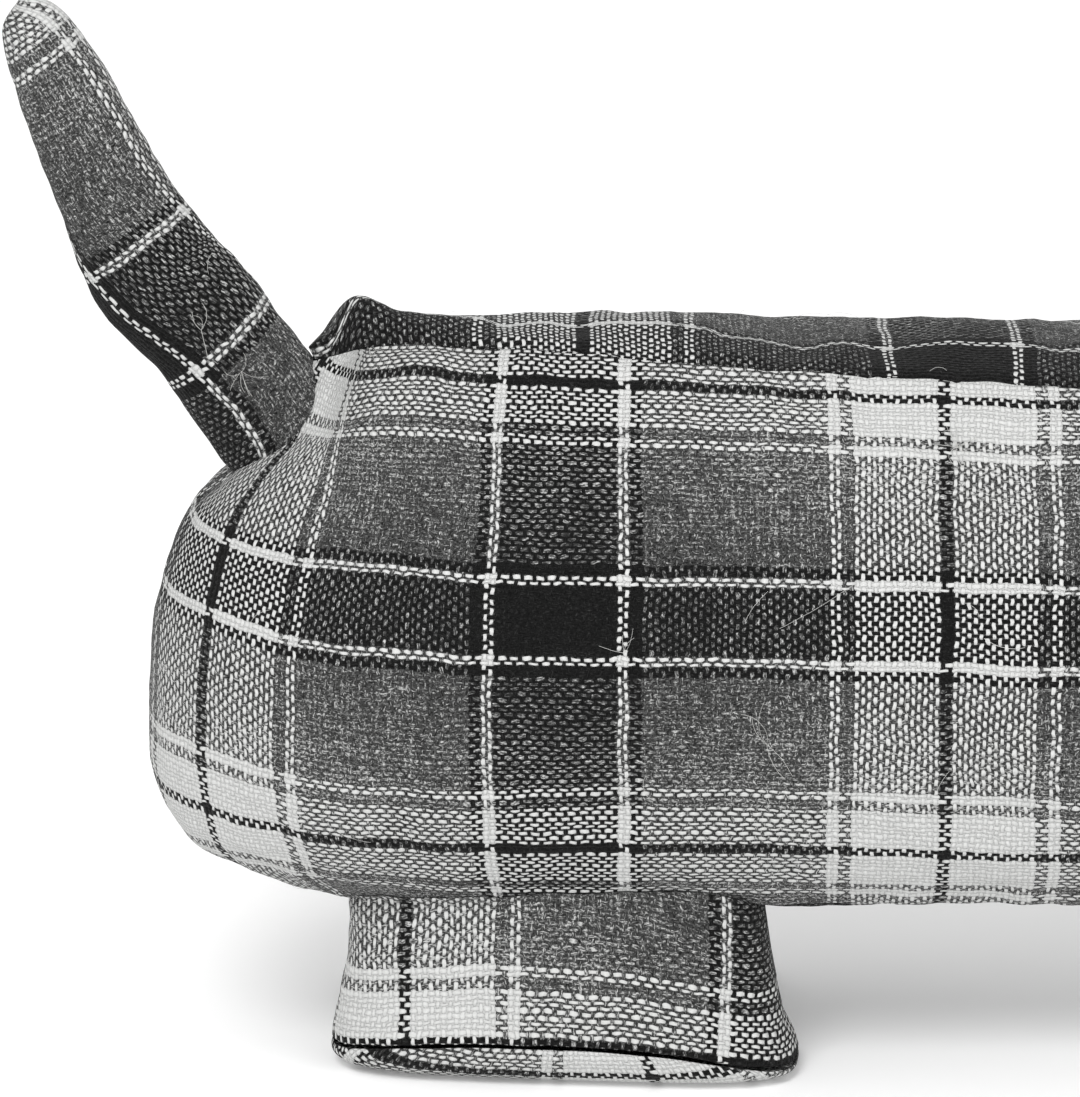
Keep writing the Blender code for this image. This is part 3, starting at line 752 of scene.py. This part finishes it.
def keepFaces(piece, keep):
    # deletes every face that isn't kept
    def work():
        shape = bmesh.from_edit_mesh(piece.data)
        shape.faces.ensure_lookup_table()
        bpy.ops.mesh.select_all(action="DESELECT")
        for face in shape.faces:
            face.select_set(not keep[face.index])
        bmesh.update_edit_mesh(piece.data)
        bpy.ops.mesh.delete(type="FACE")
    inEditMode(piece, work)


def copyOf(piece, name):
    selectOnly(piece)
    bpy.ops.object.duplicate()
    made = bpy.context.object
    made.name = made.data.name = name
    return made


def thicken(piece, thickness, edge=0.15, reach=0.005):
    # cloth thickness laid inwards, pressed thin along the seam
    distance = seamDistances(piece)
    group = piece.vertex_groups.new(name="thickness")
    for index, near in enumerate(distance):
        group.add([index], float(eased(near / reach)), "REPLACE")
    selectOnly(piece)
    wall = piece.modifiers.new("Cloth", "SOLIDIFY")
    wall.thickness = thickness
    wall.offset = -1.0
    wall.use_even_offset = False
    wall.vertex_group = group.name
    wall.thickness_vertex_group = edge
    bpy.ops.object.modifier_apply(modifier=wall.name)
    piece.vertex_groups.clear()


def makePanel(name, word):
    panel = copyOf(skin, name)
    keepFaces(panel, markedFaces(panel, word))
    thicken(panel, body["panelThickness"])
    finishCloth(panel, checkCloth)
    return panel


def sinkBeds(piece, words):
    # the body's own surface lies one cloth deeper under each panel, and comes up to meet its seam
    wanted = np.zeros(len(piece.data.vertices), dtype=bool)
    for word in words:
        marked = markedFaces(piece, word)
        for face in piece.data.polygons:
            if marked[face.index]:
                wanted[list(face.vertices)] = True
    distance = seamDistances(piece)
    sink = body["bedDepth"] * eased(distance / body["bedReach"]) * wanted
    placeVertices(piece, coordinates(piece) - vertexNormals(piece) * sink[:, None])


backPanel = makePanel("backPanel", "back")
bellyPanel = makePanel("bellyPanel", "belly")
dogBody = skin
dogBody.name = dogBody.data.name = "dogBody"
sinkBeds(dogBody, ["back", "belly"])
finishCloth(dogBody, checkCloth)
print("body and panels cut apart")


# The tail: a flat stuffed strip with a bend, sewn into the rump

tail = {
    # x from the rump, height, half width, half thickness, from the tip to the root
    "rows": [
        (-0.0300, 0.2700, 0.0005, 0.0005),
        (-0.0292, 0.2680, 0.0058, 0.0045),
        (-0.0272, 0.2620, 0.0092, 0.0070),
        (-0.0205, 0.2475, 0.0116, 0.0088),
        (-0.0128, 0.2300, 0.0133, 0.0100),
        (-0.0060, 0.2145, 0.0147, 0.0110),
        (0.0020, 0.1995, 0.0172, 0.0120),
        (0.0150, 0.1860, 0.0165, 0.0128),
        (0.0240, 0.1725, 0.0168, 0.0135),
        (0.0325, 0.1595, 0.0168, 0.0135),
        (0.0390, 0.1490, 0.0120, 0.0100),
    ],
    "rowCount": 56, "columns": 48,
    "threadX": 0.0080, "threadZ": 0.1934,   # the middle of the tail's black stripe
    "edgeThread": 36.0,
    # threads gained across the tail, and threads lost for each one along it, between two limits
    "crossSlant": 1.4, "edgeSlant": 0.23, "slantFrom": 8.0, "slantLimits": (-3.5, 6.0),
}


def makeTube(sizes):
    # rings round a bent middle line, each from the tail's rear edge or the chin and back to it
    rowCount, columns = sizes["rowCount"], sizes["columns"]
    table = easedTable(sizes["rows"], rowCount)
    axis = np.zeros((rowCount, 3))
    axis[:, 0] = table[:, 0]
    axis[:, 2] = table[:, 1]
    along = np.gradient(axis, axis=0)
    along /= np.linalg.norm(along, axis=1)[:, None]
    across = np.column_stack([-along[:, 2], np.zeros(rowCount), along[:, 0]])
    turn = math.pi + 2.0 * math.pi * np.linspace(0.0, 1.0, columns + 1)
    places = np.zeros((rowCount, columns + 1, 3))
    for row in range(rowCount):
        wide = table[row, 2] * np.cos(turn)
        deep = table[row, 3] * np.sin(turn)
        places[row] = axis[row] + across[row] * wide[:, None]
        places[row, :, 1] += deep
    return places, arcAlong(axis), table


def makeTail():
    places, along, table = makeTube(tail)
    half = tail["columns"] // 2
    middle = int(np.argmin(np.abs(table[:, 0] - tail["threadX"]) + np.abs(table[:, 1] - tail["threadZ"])))
    threads = np.zeros(places.shape[:2] + (2,))
    for row in range(len(places)):
        around = arcAlong(places[row])
        count = (along[row] - along[middle]) / weave["warpPitch"]
        across = -np.cos(2.0 * math.pi * np.linspace(0.0, 1.0, places.shape[1]))
        threads[row, :, 0] = count + tail["crossSlant"] * (1.0 + across)
        threads[row, :, 1] = tail["edgeThread"] + (around - around[half]) / weave["weftPitch"]
        threads[row, :, 1] -= np.clip(tail["edgeSlant"] * (count + tail["slantFrom"]), *tail["slantLimits"])
    distance = np.zeros(places.shape[:2])
    for row in range(len(places)):
        around = arcAlong(places[row])
        distance[row] = np.minimum(around, around[-1] - around)
    piece = sew("dogTail", [cutCloth("tailCloth", places[::-1], threads[::-1], distance[::-1])])
    putAtRump(piece)
    subdivide(piece)
    crumple(piece, seed=2.0)
    finishCloth(piece, checkCloth)
    return piece


dogTail = makeTail()
print("tail sewn")


# Four feet, each with its own sewn-in sole

foot = {
    # rise, half length, half depth, shift
    "rows": [
        (0.00, 0.0595, 0.0235, 0.0000),
        (0.08, 0.0585, 0.0228, -0.0003),
        (0.22, 0.0562, 0.0215, -0.0010),
        (0.45, 0.0540, 0.0198, -0.0010),
        (0.75, 0.0528, 0.0186, -0.0018),
        (1.00, 0.0520, 0.0180, -0.0025),
    ],
    "depth": 0.04, "rowCount": 22, "crowding": 0.5, "columns": 84, "squareness": 0.62, "top": 0.0520,
    # place along the foot from the heel, and height of the sole's seam there
    "seamLine": [(-0.062, 0.0058), (-0.0585, 0.0064), (-0.045, 0.0092), (-0.022, 0.0112), (0.008, 0.0112),
                 (0.028, 0.0098), (0.045, 0.0066), (0.0585, 0.0034), (0.062, 0.0030)],
    "turn": 5.0, "spread": 0.0265, "farShare": 0.93,
    "places": {"rear": 0.1045, "front": 0.5955},
    # inset and height of the sole's rounded edge
    "soleRows": [
        (0.0004, 1.00), (0.0000, 0.88), (0.0000, 0.70), (0.0008, 0.50),
        (0.0026, 0.28), (0.0056, 0.10), (0.0100, 0.00), (0.0160, 0.00),
    ],
    "soleWarp": 47.0, "soleWeft": 40.0, "soleThickness": 0.0021,
    "halfGap": 0.00015, "capRise": 0.0003, "capRing": 0.7, "soleRing": 0.6,
    "threadStarts": {
        ("rear", "near"): 63.0, ("rear", "far"): 20.0,
        ("front", "near"): 10.0, ("front", "far"): 40.0,
    },
    "edgeThread": 46.8, "threadX": -0.0388, "warpPitch": 0.00156, "weftPitch": 0.00154,
    "seamShare": 0.12, "seedScale": 37.0,
    "bodyGap": 0.0003, "bodyGapFrom": 0.0435,
}


def footOutline(halfLength, halfDepth, shift, inset=0.0):
    turn = 0.5 * math.pi + 2.0 * math.pi * np.linspace(0.0, 1.0, foot["columns"] + 1)
    power = foot["squareness"]
    x = shift + (halfLength - inset) * np.sign(np.cos(turn)) * np.abs(np.cos(turn)) ** power
    y = (halfDepth - inset) * np.sign(np.sin(turn)) * np.abs(np.sin(turn)) ** power
    ring = np.column_stack([x, y])
    along = arcAlong(ring)
    even = np.linspace(0.0, along[-1], foot["columns"] + 1)
    return np.column_stack([np.interp(even, along, ring[:, 0]), np.interp(even, along, ring[:, 1])])


def soleSeam(x):
    table = np.array(foot["seamLine"])
    fine = np.linspace(table[0, 0], table[-1, 0], 200)
    return np.interp(x, fine, roundCorners(np.interp(fine, table[:, 0], table[:, 1]), 60))


def standInPlace(places, end, side):
    sign = -1.0 if side == "near" else 1.0
    turn = math.radians(foot["turn"]) * sign
    stretch = foot["farShare"] if side == "far" else 1.0
    x = places[..., 0] * stretch
    y = places[..., 1]
    placed = places.copy()
    placed[..., 0] = x * math.cos(turn) - y * math.sin(turn) + foot["places"][end] + rumpX
    placed[..., 1] = x * math.sin(turn) + y * math.cos(turn) + sign * foot["spread"]
    return placed


def makeFoot(end, side):
    table = easedTable(foot["rows"], foot["rowCount"], riseLength=foot["depth"], crowding=foot["crowding"])
    places = np.zeros((foot["rowCount"] + 4, foot["columns"] + 1, 3))
    for row, level in enumerate(table):
        ring = footOutline(*level[1:])
        places[row + 2, :, :2] = ring
        seam = soleSeam(ring[:, 0]) + foot["halfGap"]
        places[row + 2, :, 2] = seam + level[0] * (foot["top"] - seam)
    for row, share in ((0, 0.0), (1, foot["capRing"])):
        places[row, :, :2] = places[2, :, :2] * share
        places[row, :, 2] = foot["capRise"] + (places[2, :, 2] if share else places[2, :, 2].mean())
    for row, share in ((-1, 0.0), (-2, foot["capRing"])):
        places[row, :, :2] = places[-3, :, :2] * share
        places[row, :, 2] = foot["top"]
    threads = np.zeros(places.shape[:2] + (2,))
    quarter = foot["columns"] // 4
    for row in range(len(places)):
        ring = places[min(max(row, 2), len(places) - 3)]
        around = arcAlong(ring)
        near = np.interp(foot["threadX"], ring[quarter:3 * quarter, 0], around[quarter:3 * quarter])
        threads[row, :, 0] = foot["threadStarts"][end, side] - (around - near) / foot["warpPitch"]
    upward = arcDown(places[2:-2])
    threads[2:-2, :, 1] = foot["edgeThread"] - upward / foot["weftPitch"]
    threads[:2, :, 1] = foot["edgeThread"]
    threads[-2:, :, 1] = foot["edgeThread"] - upward[-1] / foot["weftPitch"]
    distance = np.zeros(places.shape[:2])
    distance[2:-2] = upward
    distance[-2:] = 1.0
    cloth = cutCloth("footCloth", standInPlace(places, end, side), threads, distance)
    piece = sew(f"foot_{end}_{side}_stuffed", [cloth])
    subdivide(piece)
    seed = foot["places"][end] * foot["seedScale"]
    crumple(piece, seed)
    drawSeamsIn(piece, seed, foot["seamShare"])
    finishCloth(piece, checkCloth)
    return piece


def makeSole(end, side):
    # the sole is cut flat, and its edge turns up to the seam, so its threads count on up the bowl
    rings = []
    outer = foot["rows"][0]
    for inset, height in foot["soleRows"]:
        ring = footOutline(outer[1], outer[2], outer[3], inset)
        gap = foot["halfGap"] if height == 1.0 else 0.0
        rings.append(np.column_stack([ring, soleSeam(ring[:, 0]) * height - gap]))
    centre = rings[-1].copy()
    for share in (foot["soleRing"], 0.0):
        ring = centre.copy()
        ring[:, :2] *= share
        ring[:, 2] = 0.0
        rings.append(ring)
    places = np.array(rings[::-1])
    flat = places[:, :, :2].copy()
    outwards = rings[0][:, :2] - centre[:, :2]
    outwards /= np.maximum(np.linalg.norm(outwards, axis=1), 1e-9)[:, None]
    for column in range(places.shape[1]):
        along = arcAlong(places[2:, column])
        flat[2:, column] = flat[2, column] + outwards[column] * along[:, None]
    edge = flat[-1, :, 1].min()
    threads = np.stack([flat[:, :, 0] / weave["warpPitch"] + foot["soleWarp"],
                        (flat[:, :, 1] - edge) / weave["weftPitch"] + foot["soleWeft"]], axis=-1)
    along = arcDown(places)
    distance = along[-1][None, :] - along
    cloth = cutCloth("soleCloth", standInPlace(places, end, side), threads, distance)
    piece = sew(f"sole_{end}_{side}_cloth", [cloth])
    subdivide(piece)
    drawSeamsIn(piece, foot["places"][end] * foot["seedScale"], foot["seamShare"])
    low = coordinates(piece)
    low[:, 2] = np.maximum(low[:, 2], 0.0)
    placeVertices(piece, low)
    thicken(piece, foot["soleThickness"])
    finishCloth(piece, checkCloth)
    return piece


feet = {}
soles = {}
for end, side in foot["threadStarts"]:
    feet[end, side] = makeFoot(end, side)
    soles[end, side] = makeSole(end, side)
print("feet and soles sewn")


# The head: two side panels sewn along the crown and the chin, with ears, eyes and a nose

head = {
    # x from the rump, height, half height, half width, from the back of the head to the muzzle
    "rows": [
        (0.6180, 0.2050, 0.0005, 0.0005),
        (0.6220, 0.2050, 0.0170, 0.0180),
        (0.6340, 0.2060, 0.0310, 0.0330),
        (0.6540, 0.2070, 0.0415, 0.0440),
        (0.6800, 0.2070, 0.0460, 0.0480),
        (0.7080, 0.2025, 0.0445, 0.0455),
        (0.7340, 0.1955, 0.0380, 0.0375),
        (0.7600, 0.1895, 0.0315, 0.0300),
        (0.7900, 0.1840, 0.0265, 0.0255),
        (0.8180, 0.1800, 0.0230, 0.0225),
        (0.8380, 0.1780, 0.0190, 0.0180),
        (0.8490, 0.1775, 0.0120, 0.0110),
        (0.8530, 0.1775, 0.0005, 0.0005),
    ],
    "rowCount": 62, "columns": 56,
    "threadX": 0.6640, "sideThread": 18.0,
    "seed": 5.0,
}


def headPoint(x, angle, off):
    table = np.array(head["rows"])
    middle, halfHeight, halfWidth = [np.interp(x, table[:, 0], table[:, k]) for k in (1, 2, 3)]
    y = (halfWidth + off) * np.sin(angle)
    return np.stack([x, y, middle + (halfHeight + off) * np.cos(angle)], axis=-1)


def makeHead():
    places = makeTube(head)[0]
    half = head["columns"] // 2
    halves = []
    for side, part in (("near", places[:, :half + 1]), ("far", places[:, half:])):
        threads = np.zeros(part.shape[:2] + (2,))
        distance = np.zeros(part.shape[:2])
        for row in range(len(part)):
            around = arcAlong(part[row])
            middle = around[len(around) // 2]
            threads[row, :, 0] = (part[row, :, 0] - head["threadX"]) / weave["warpPitch"]
            sign = 1.0 if side == "near" else -1.0
            threads[row, :, 1] = sign * (around - middle) / weave["weftPitch"] + head["sideThread"]
            distance[row] = np.minimum(around, around[-1] - around)
        halves.append(cutCloth("headSide" + side, part, threads, distance))
    piece = sew("dogHead", halves)
    putAtRump(piece)
    fill(piece, seamVertices(piece), filling["headCap"])
    subdivide(piece)
    crumple(piece, head["seed"])
    drawSeamsIn(piece, head["seed"])
    return piece


def restOn(piece, supports, clearance=0.0004, above=0.0):
    # cloth that would run into what carries it is pressed against it instead
    places = coordinates(piece)
    for support in supports:
        tree = surfaceOf(support)
        low, high = coordinates(support).min(axis=0) - 0.01, coordinates(support).max(axis=0) + 0.01
        near = np.nonzero(np.all((places > low) & (places < high), axis=1) & (places[:, 2] > above))[0]
        for index in near:
            place = Vector(places[index])
            found, normal, face, distance = tree.find_nearest(place)
            if (place - found).dot(normal) < clearance:
                places[index] = found + normal * clearance
    placeVertices(piece, places)


ear = {
    "middleX": 0.676, "topAngle": 38.0, "sideAngle": 96.0, "wrap": 0.6, "hang": 0.040, "flare": 0.006,
    "thickness": 0.0050, "clearance": 0.0010, "topHalfWidth": 0.017, "lowHalfWidth": 0.029, "lean": 0.010,
    "widening": 1.4,
    # where the rounding of each end starts, its reach, and the least share of the width that is left
    "lowEnd": (0.72, 0.285, 0.03), "topEnd": (0.10, 0.105, 0.10),
    "rim": 3.0, "rimLength": 0.03, "threadX": 3.0, "threadDown": -14.0, "headGap": 0.0006,
    "rows": 30, "columns": 20,
}


def earPlace(x, share, off):
    top, side = math.radians(ear["topAngle"]), math.radians(ear["sideAngle"])
    wrapped = min(share / ear["wrap"], 1.0)
    place = headPoint(x, np.full(x.shape, top + wrapped * (side - top)), off)
    below = max((share - ear["wrap"]) / (1.0 - ear["wrap"]), 0.0)
    place[:, 2] -= ear["hang"] * below
    place[:, 1] += ear["flare"] * below * below
    return place


def makeEar(side):
    sign = -1.0 if side == "near" else 1.0
    across = np.linspace(-1.0, 1.0, ear["columns"])
    layers = []
    for face in (1.0, -1.0):
        places = np.zeros((ear["rows"], ear["columns"], 3))
        distance = np.zeros((ear["rows"], ear["columns"]))
        for row, share in enumerate(np.linspace(0.0, 1.0, ear["rows"])):
            widening = eased(share * ear["widening"])
            width = ear["topHalfWidth"] + (ear["lowHalfWidth"] - ear["topHalfWidth"]) * widening
            for (start, reach, least), beyond in ((ear["lowEnd"], 1.0), (ear["topEnd"], -1.0)):
                width *= math.sqrt(max(1.0 - max(beyond * (share - start) / reach, 0.0) ** 2, least))
            x = ear["middleX"] + ear["lean"] * share + width * across
            rim = np.minimum(1.0 - np.abs(across), min(share, 1.0 - share) * ear["rim"])
            plump = np.sqrt(np.clip(rim * ear["rim"], 0.0, 1.0))
            off = ear["clearance"] + 0.5 * ear["thickness"] * (1.0 + face * plump)
            for column in range(ear["columns"]):
                places[row, column] = earPlace(x[column:column + 1], share, off[column])[0]
            distance[row] = rim * ear["rimLength"]
        places[..., 1] *= sign
        down = arcDown(places)
        threads = np.stack([(places[..., 0] - ear["middleX"]) / weave["warpPitch"] + ear["threadX"],
                            down / weave["weftPitch"] + ear["threadDown"]], axis=-1)
        layers.append(cutCloth("earLayer", places, threads, distance))
    piece = sew(f"ear_{side}_sewn", layers)
    putAtRump(piece)
    subdivide(piece)
    return piece


nose = {"x": 0.8510, "z": 0.1845, "radius": 0.0105, "shares": (0.9, 1.15, 0.85), "weftShare": 0.7}


def makeNose():
    selectOnly()
    bpy.ops.mesh.primitive_uv_sphere_add(segments=40, ring_count=24, radius=nose["radius"],
                                         location=(rumpX + nose["x"], 0.0, nose["z"]))
    piece = bpy.context.object
    piece.name = piece.data.name = "noseCloth"
    bpy.ops.transform.resize(value=nose["shares"])
    applyPlace()
    places = coordinates(piece)
    wefts = (places[:, 2] - nose["z"]) / weave["weftPitch"] * nose["weftShare"]
    layThreads(piece.data, np.column_stack([places[:, 1] / weave["warpPitch"], wefts]))
    return piece


def makeButtonGloss():
    paint = Paint("buttonGloss")
    x, y, z = paint.placeInObject()
    scuff = paint.noise(x * 900.0, y * 900.0, z * 2600.0, detail=3.0)
    tone = (scuff - 0.5) * 0.006 + 0.012
    bump = paint.add("ShaderNodeBump", None, {"Strength": 0.08, "Distance": 0.0001, "Height": scuff})
    paint.set(Base_Color=paint.tinted(tone, 1.0, 1.05), Roughness=scuff * 0.12 + 0.10, Normal=bump.outputs[0])
    return paint.material


eye = {"x": 0.740, "angle": 52.0, "radius": 0.0066, "dome": 0.72, "rimRadius": 0.0007, "proud": 0.0006}


def makeEye(side, gloss):
    # a domed button with a rim, seated on the filled cloth
    sign = -1.0 if side == "near" else 1.0
    place = headPoint(np.array([eye["x"]]), np.array([math.radians(eye["angle"])]), 0.0)[0]
    nearest = Vector((place[0] + rumpX, sign * place[1], place[2]))
    spot, outwards, face, distance = surfaceOf(dogHead).find_nearest(nearest)
    selectOnly()
    bpy.ops.mesh.primitive_uv_sphere_add(segments=40, ring_count=24, radius=eye["radius"])
    dome = bpy.context.object
    bpy.ops.transform.resize(value=(1.0, 1.0, eye["dome"]))
    applyPlace()
    selectOnly()
    bpy.ops.mesh.primitive_torus_add(major_segments=48, minor_segments=12, major_radius=eye["radius"],
                                     minor_radius=eye["rimRadius"], location=(0.0, 0.0, eye["proud"]))
    rim = bpy.context.object
    applyPlace()
    selectOnly(dome, rim)
    bpy.ops.object.join()
    piece = bpy.context.object
    piece.name = piece.data.name = f"eye_{side}_button"
    piece.location = spot + outwards * eye["proud"]
    piece.rotation_euler = outwards.to_track_quat("Z", "Y").to_euler()
    selectOnly(piece)
    applyPlace()
    piece.data.materials.clear()
    piece.data.materials.append(gloss)
    bpy.ops.object.shade_smooth()
    return piece


dogHead = makeHead()
finishCloth(dogHead, checkCloth)
ears = {}
eyes = {}
buttonGloss = makeButtonGloss()
for side in ("near", "far"):
    ears[side] = makeEar(side)
    restOn(ears[side], [dogHead, dogBody, backPanel], clearance=ear["headGap"])
    finishCloth(ears[side], checkCloth)
    eyes[side] = makeEye(side, buttonGloss)
noseCloth = makeNose()
restOn(noseCloth, [dogHead])
finishCloth(noseCloth, checkCloth)
for piece in feet.values():
    restOn(piece, [dogBody, bellyPanel], clearance=foot["bodyGap"], above=foot["bodyGapFrom"])
print("head, ears, eyes and nose made")


# Loose fibres that stand off the cloth

fibres = {
    "count": 130, "seed": 11, "radius": (0.000035, 0.00006), "length": (0.004, 0.013), "points": 12,
    "lift": 0.0009, "leastLift": 0.0001, "curl": 2.6, "longCurl": 0.3, "longFrom": 0.02,
    "ringRadius": 0.12, "ringHeight": 0.13,   # the loose ones start from a ring round the body
    # x from the rump and height, then how many start there and how long they are
    "tufts": [
        (0.2010, 0.1650, 14, 0.007),
        (0.1540, 0.0950, 5, 0.011),
        (0.1570, 0.1240, 1, 0.030),
        (0.1190, 0.1180, 4, 0.006),
        (0.0138, 0.1880, 5, 0.007),
        (0.0238, 0.1776, 7, 0.007),
        (0.0560, 0.1800, 5, 0.005),
    ],
}


def makeFibreCloth():
    paint = Paint("looseFibre")
    tone = (paint.noise(*paint.placeInObject(), scale=90.0) - 0.5) * 0.6 + 0.58
    paint.set(Base_Color=paint.tinted(tone, 1.0, 0.97), Roughness=0.8, Specular_IOR_Level=0.2)
    return paint.material


def makeFibres():
    chance = random.Random(fibres["seed"])
    tree = surfaceOf(dogBody, backPanel, dogTail)
    starts = []
    for _ in range(fibres["count"]):
        angle = chance.uniform(0.0, 2.0 * math.pi)
        x = rumpX + chance.uniform(-0.02, body["length"])
        around = Vector((x, fibres["ringRadius"] * math.cos(angle),
                         fibres["ringHeight"] + fibres["ringRadius"] * math.sin(angle)))
        starts.append((tree.find_nearest(around), chance.uniform(*fibres["length"])))
    for x, height, many, length in fibres["tufts"]:
        found = tree.ray_cast(Vector((rumpX + x, -0.3, height)), Vector((0.0, 1.0, 0.0)))
        starts += [(found, length * chance.uniform(0.7, 1.2)) for _ in range(many)]
    data = bpy.data.curves.new("strayFibres", "CURVE")
    data.dimensions = "3D"
    data.bevel_depth = 1.0
    data.bevel_resolution = 0
    data.use_fill_caps = True
    for (place, outwards, face, distance), length in starts:
        spline = data.splines.new("POLY")
        spline.points.add(fibres["points"] - 1)
        heading = outwards.orthogonal().normalized()
        heading.rotate(Quaternion(outwards, chance.uniform(0.0, 2.0 * math.pi)))
        curl = chance.uniform(-1.0, 1.0) * fibres["curl" if length < fibres["longFrom"] else "longCurl"]
        thickness = chance.uniform(*fibres["radius"])
        spot = place.copy()
        for index, point in enumerate(spline.points):
            share = index / (fibres["points"] - 1)
            near, normal, face, distance = tree.find_nearest(spot)
            lift = fibres["lift"] * math.sin(math.pi * share) ** 0.7 + fibres["leastLift"]
            point.co = (*(near + normal * lift), 1.0)
            point.radius = thickness
            heading.rotate(Quaternion(outwards, curl / fibres["points"] * (1.0 + chance.uniform(-0.8, 0.8))))
            spot = near + heading * length / fibres["points"]
    selectOnly(addToScene("strayFibres", data))
    bpy.ops.object.convert(target="MESH")
    piece = bpy.context.object
    piece.data.materials.clear()
    piece.data.materials.append(makeFibreCloth())
    bpy.ops.object.shade_smooth()
    return piece


strayFibres = makeFibres()
print("loose fibres laid", len(strayFibres.data.polygons))


# Camera, floor and light

studio = {"targetX": -0.3142, "targetY": -0.02, "targetZ": 0.1335, "elevation": 16.0, "distance": 2.0,
          "lens": 262.5, "sensor": 36.0,
          "floorSize": 12.0, "floorTone": 0.93, "floorGlow": 0.16, "worldLight": 0.75}


def makeCamera():
    data = bpy.data.cameras.new("studioCamera")
    data.lens = studio["lens"]
    data.sensor_width = studio["sensor"]
    data.clip_end = 20.0
    camera = addToScene("studioCamera", data)
    tilt = math.radians(studio["elevation"])
    back = Vector((0.0, -math.cos(tilt), math.sin(tilt)))
    target = Vector((studio["targetX"], studio["targetY"], studio["targetZ"]))
    camera.location = target + back * studio["distance"]
    camera.rotation_euler = (math.radians(90.0 - studio["elevation"]), 0.0, 0.0)
    scene.camera = camera


def makeFloor():
    selectOnly()
    bpy.ops.mesh.primitive_plane_add(size=studio["floorSize"], location=(0.0, 0.0, 0.0))
    floor = bpy.context.object
    floor.name = "studioFloor"
    paint = Paint("paleFloor")
    shade = paint.noise(*paint.placeInObject(), scale=3.0) * 0.01 + studio["floorTone"]
    paint.set(Base_Color=paint.tinted(shade, 1.0, 1.0), Roughness=0.9)
    paint.set(Emission_Color=(1.0, 1.0, 1.0, 1.0), Emission_Strength=studio["floorGlow"])
    floor.data.materials.append(paint.material)


def addLamp(name, place, target, size, power):
    data = bpy.data.lights.new(name, "AREA")
    data.shape = "DISK"
    data.size = size
    data.energy = power
    lamp = addToScene(name, data)
    lamp.location = place
    aim = Vector(target) - Vector(place)
    lamp.rotation_euler = aim.to_track_quat("-Z", "Y").to_euler()


def makeLight():
    world = bpy.data.worlds.new("studio")
    scene.world = world
    world.use_nodes = True
    backdrop = world.node_tree.nodes["Background"]
    backdrop.inputs["Color"].default_value = (1.0, 1.0, 1.0, 1.0)
    backdrop.inputs["Strength"].default_value = studio["worldLight"]
    addLamp("keyLight", (-1.2, -2.2, 2.6), (-0.2, 0.0, 0.1), 1.6, 60.0)
    addLamp("fillLight", (1.8, -1.8, 1.4), (0.0, 0.0, 0.1), 1.8, 18.0)
    scene.view_settings.view_transform = "Standard"


makeCamera()
makeFloor()
makeLight()

pieces = [
    (dogBody, "side_check", ["body"]),
    (backPanel, "back_check", ["back_panel"]),
    (bellyPanel, "belly_check", ["belly_panel"]),
    (dogTail, "tail_check", ["tail"]),
    (dogHead, "head_check", ["head"]),
    (noseCloth, "nose_cloth", ["nose"]),
    (strayFibres, "side_check", []),
]
for side in ("near", "far"):
    pieces.append((ears[side], "ear_check", ["ear_" + side]))
    pieces.append((eyes[side], "eye_button", ["eye_" + side]))
for (end, side), piece in feet.items():
    pieces.append((piece, "foot_check", [f"foot_{end}_{side}"]))
for (end, side), piece in soles.items():
    pieces.append((piece, "sole_check", [f"sole_{end}_{side}"]))
for piece, slotName, nodes in pieces:
    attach(piece, "root")
    if nodes:
        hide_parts(*nodes)
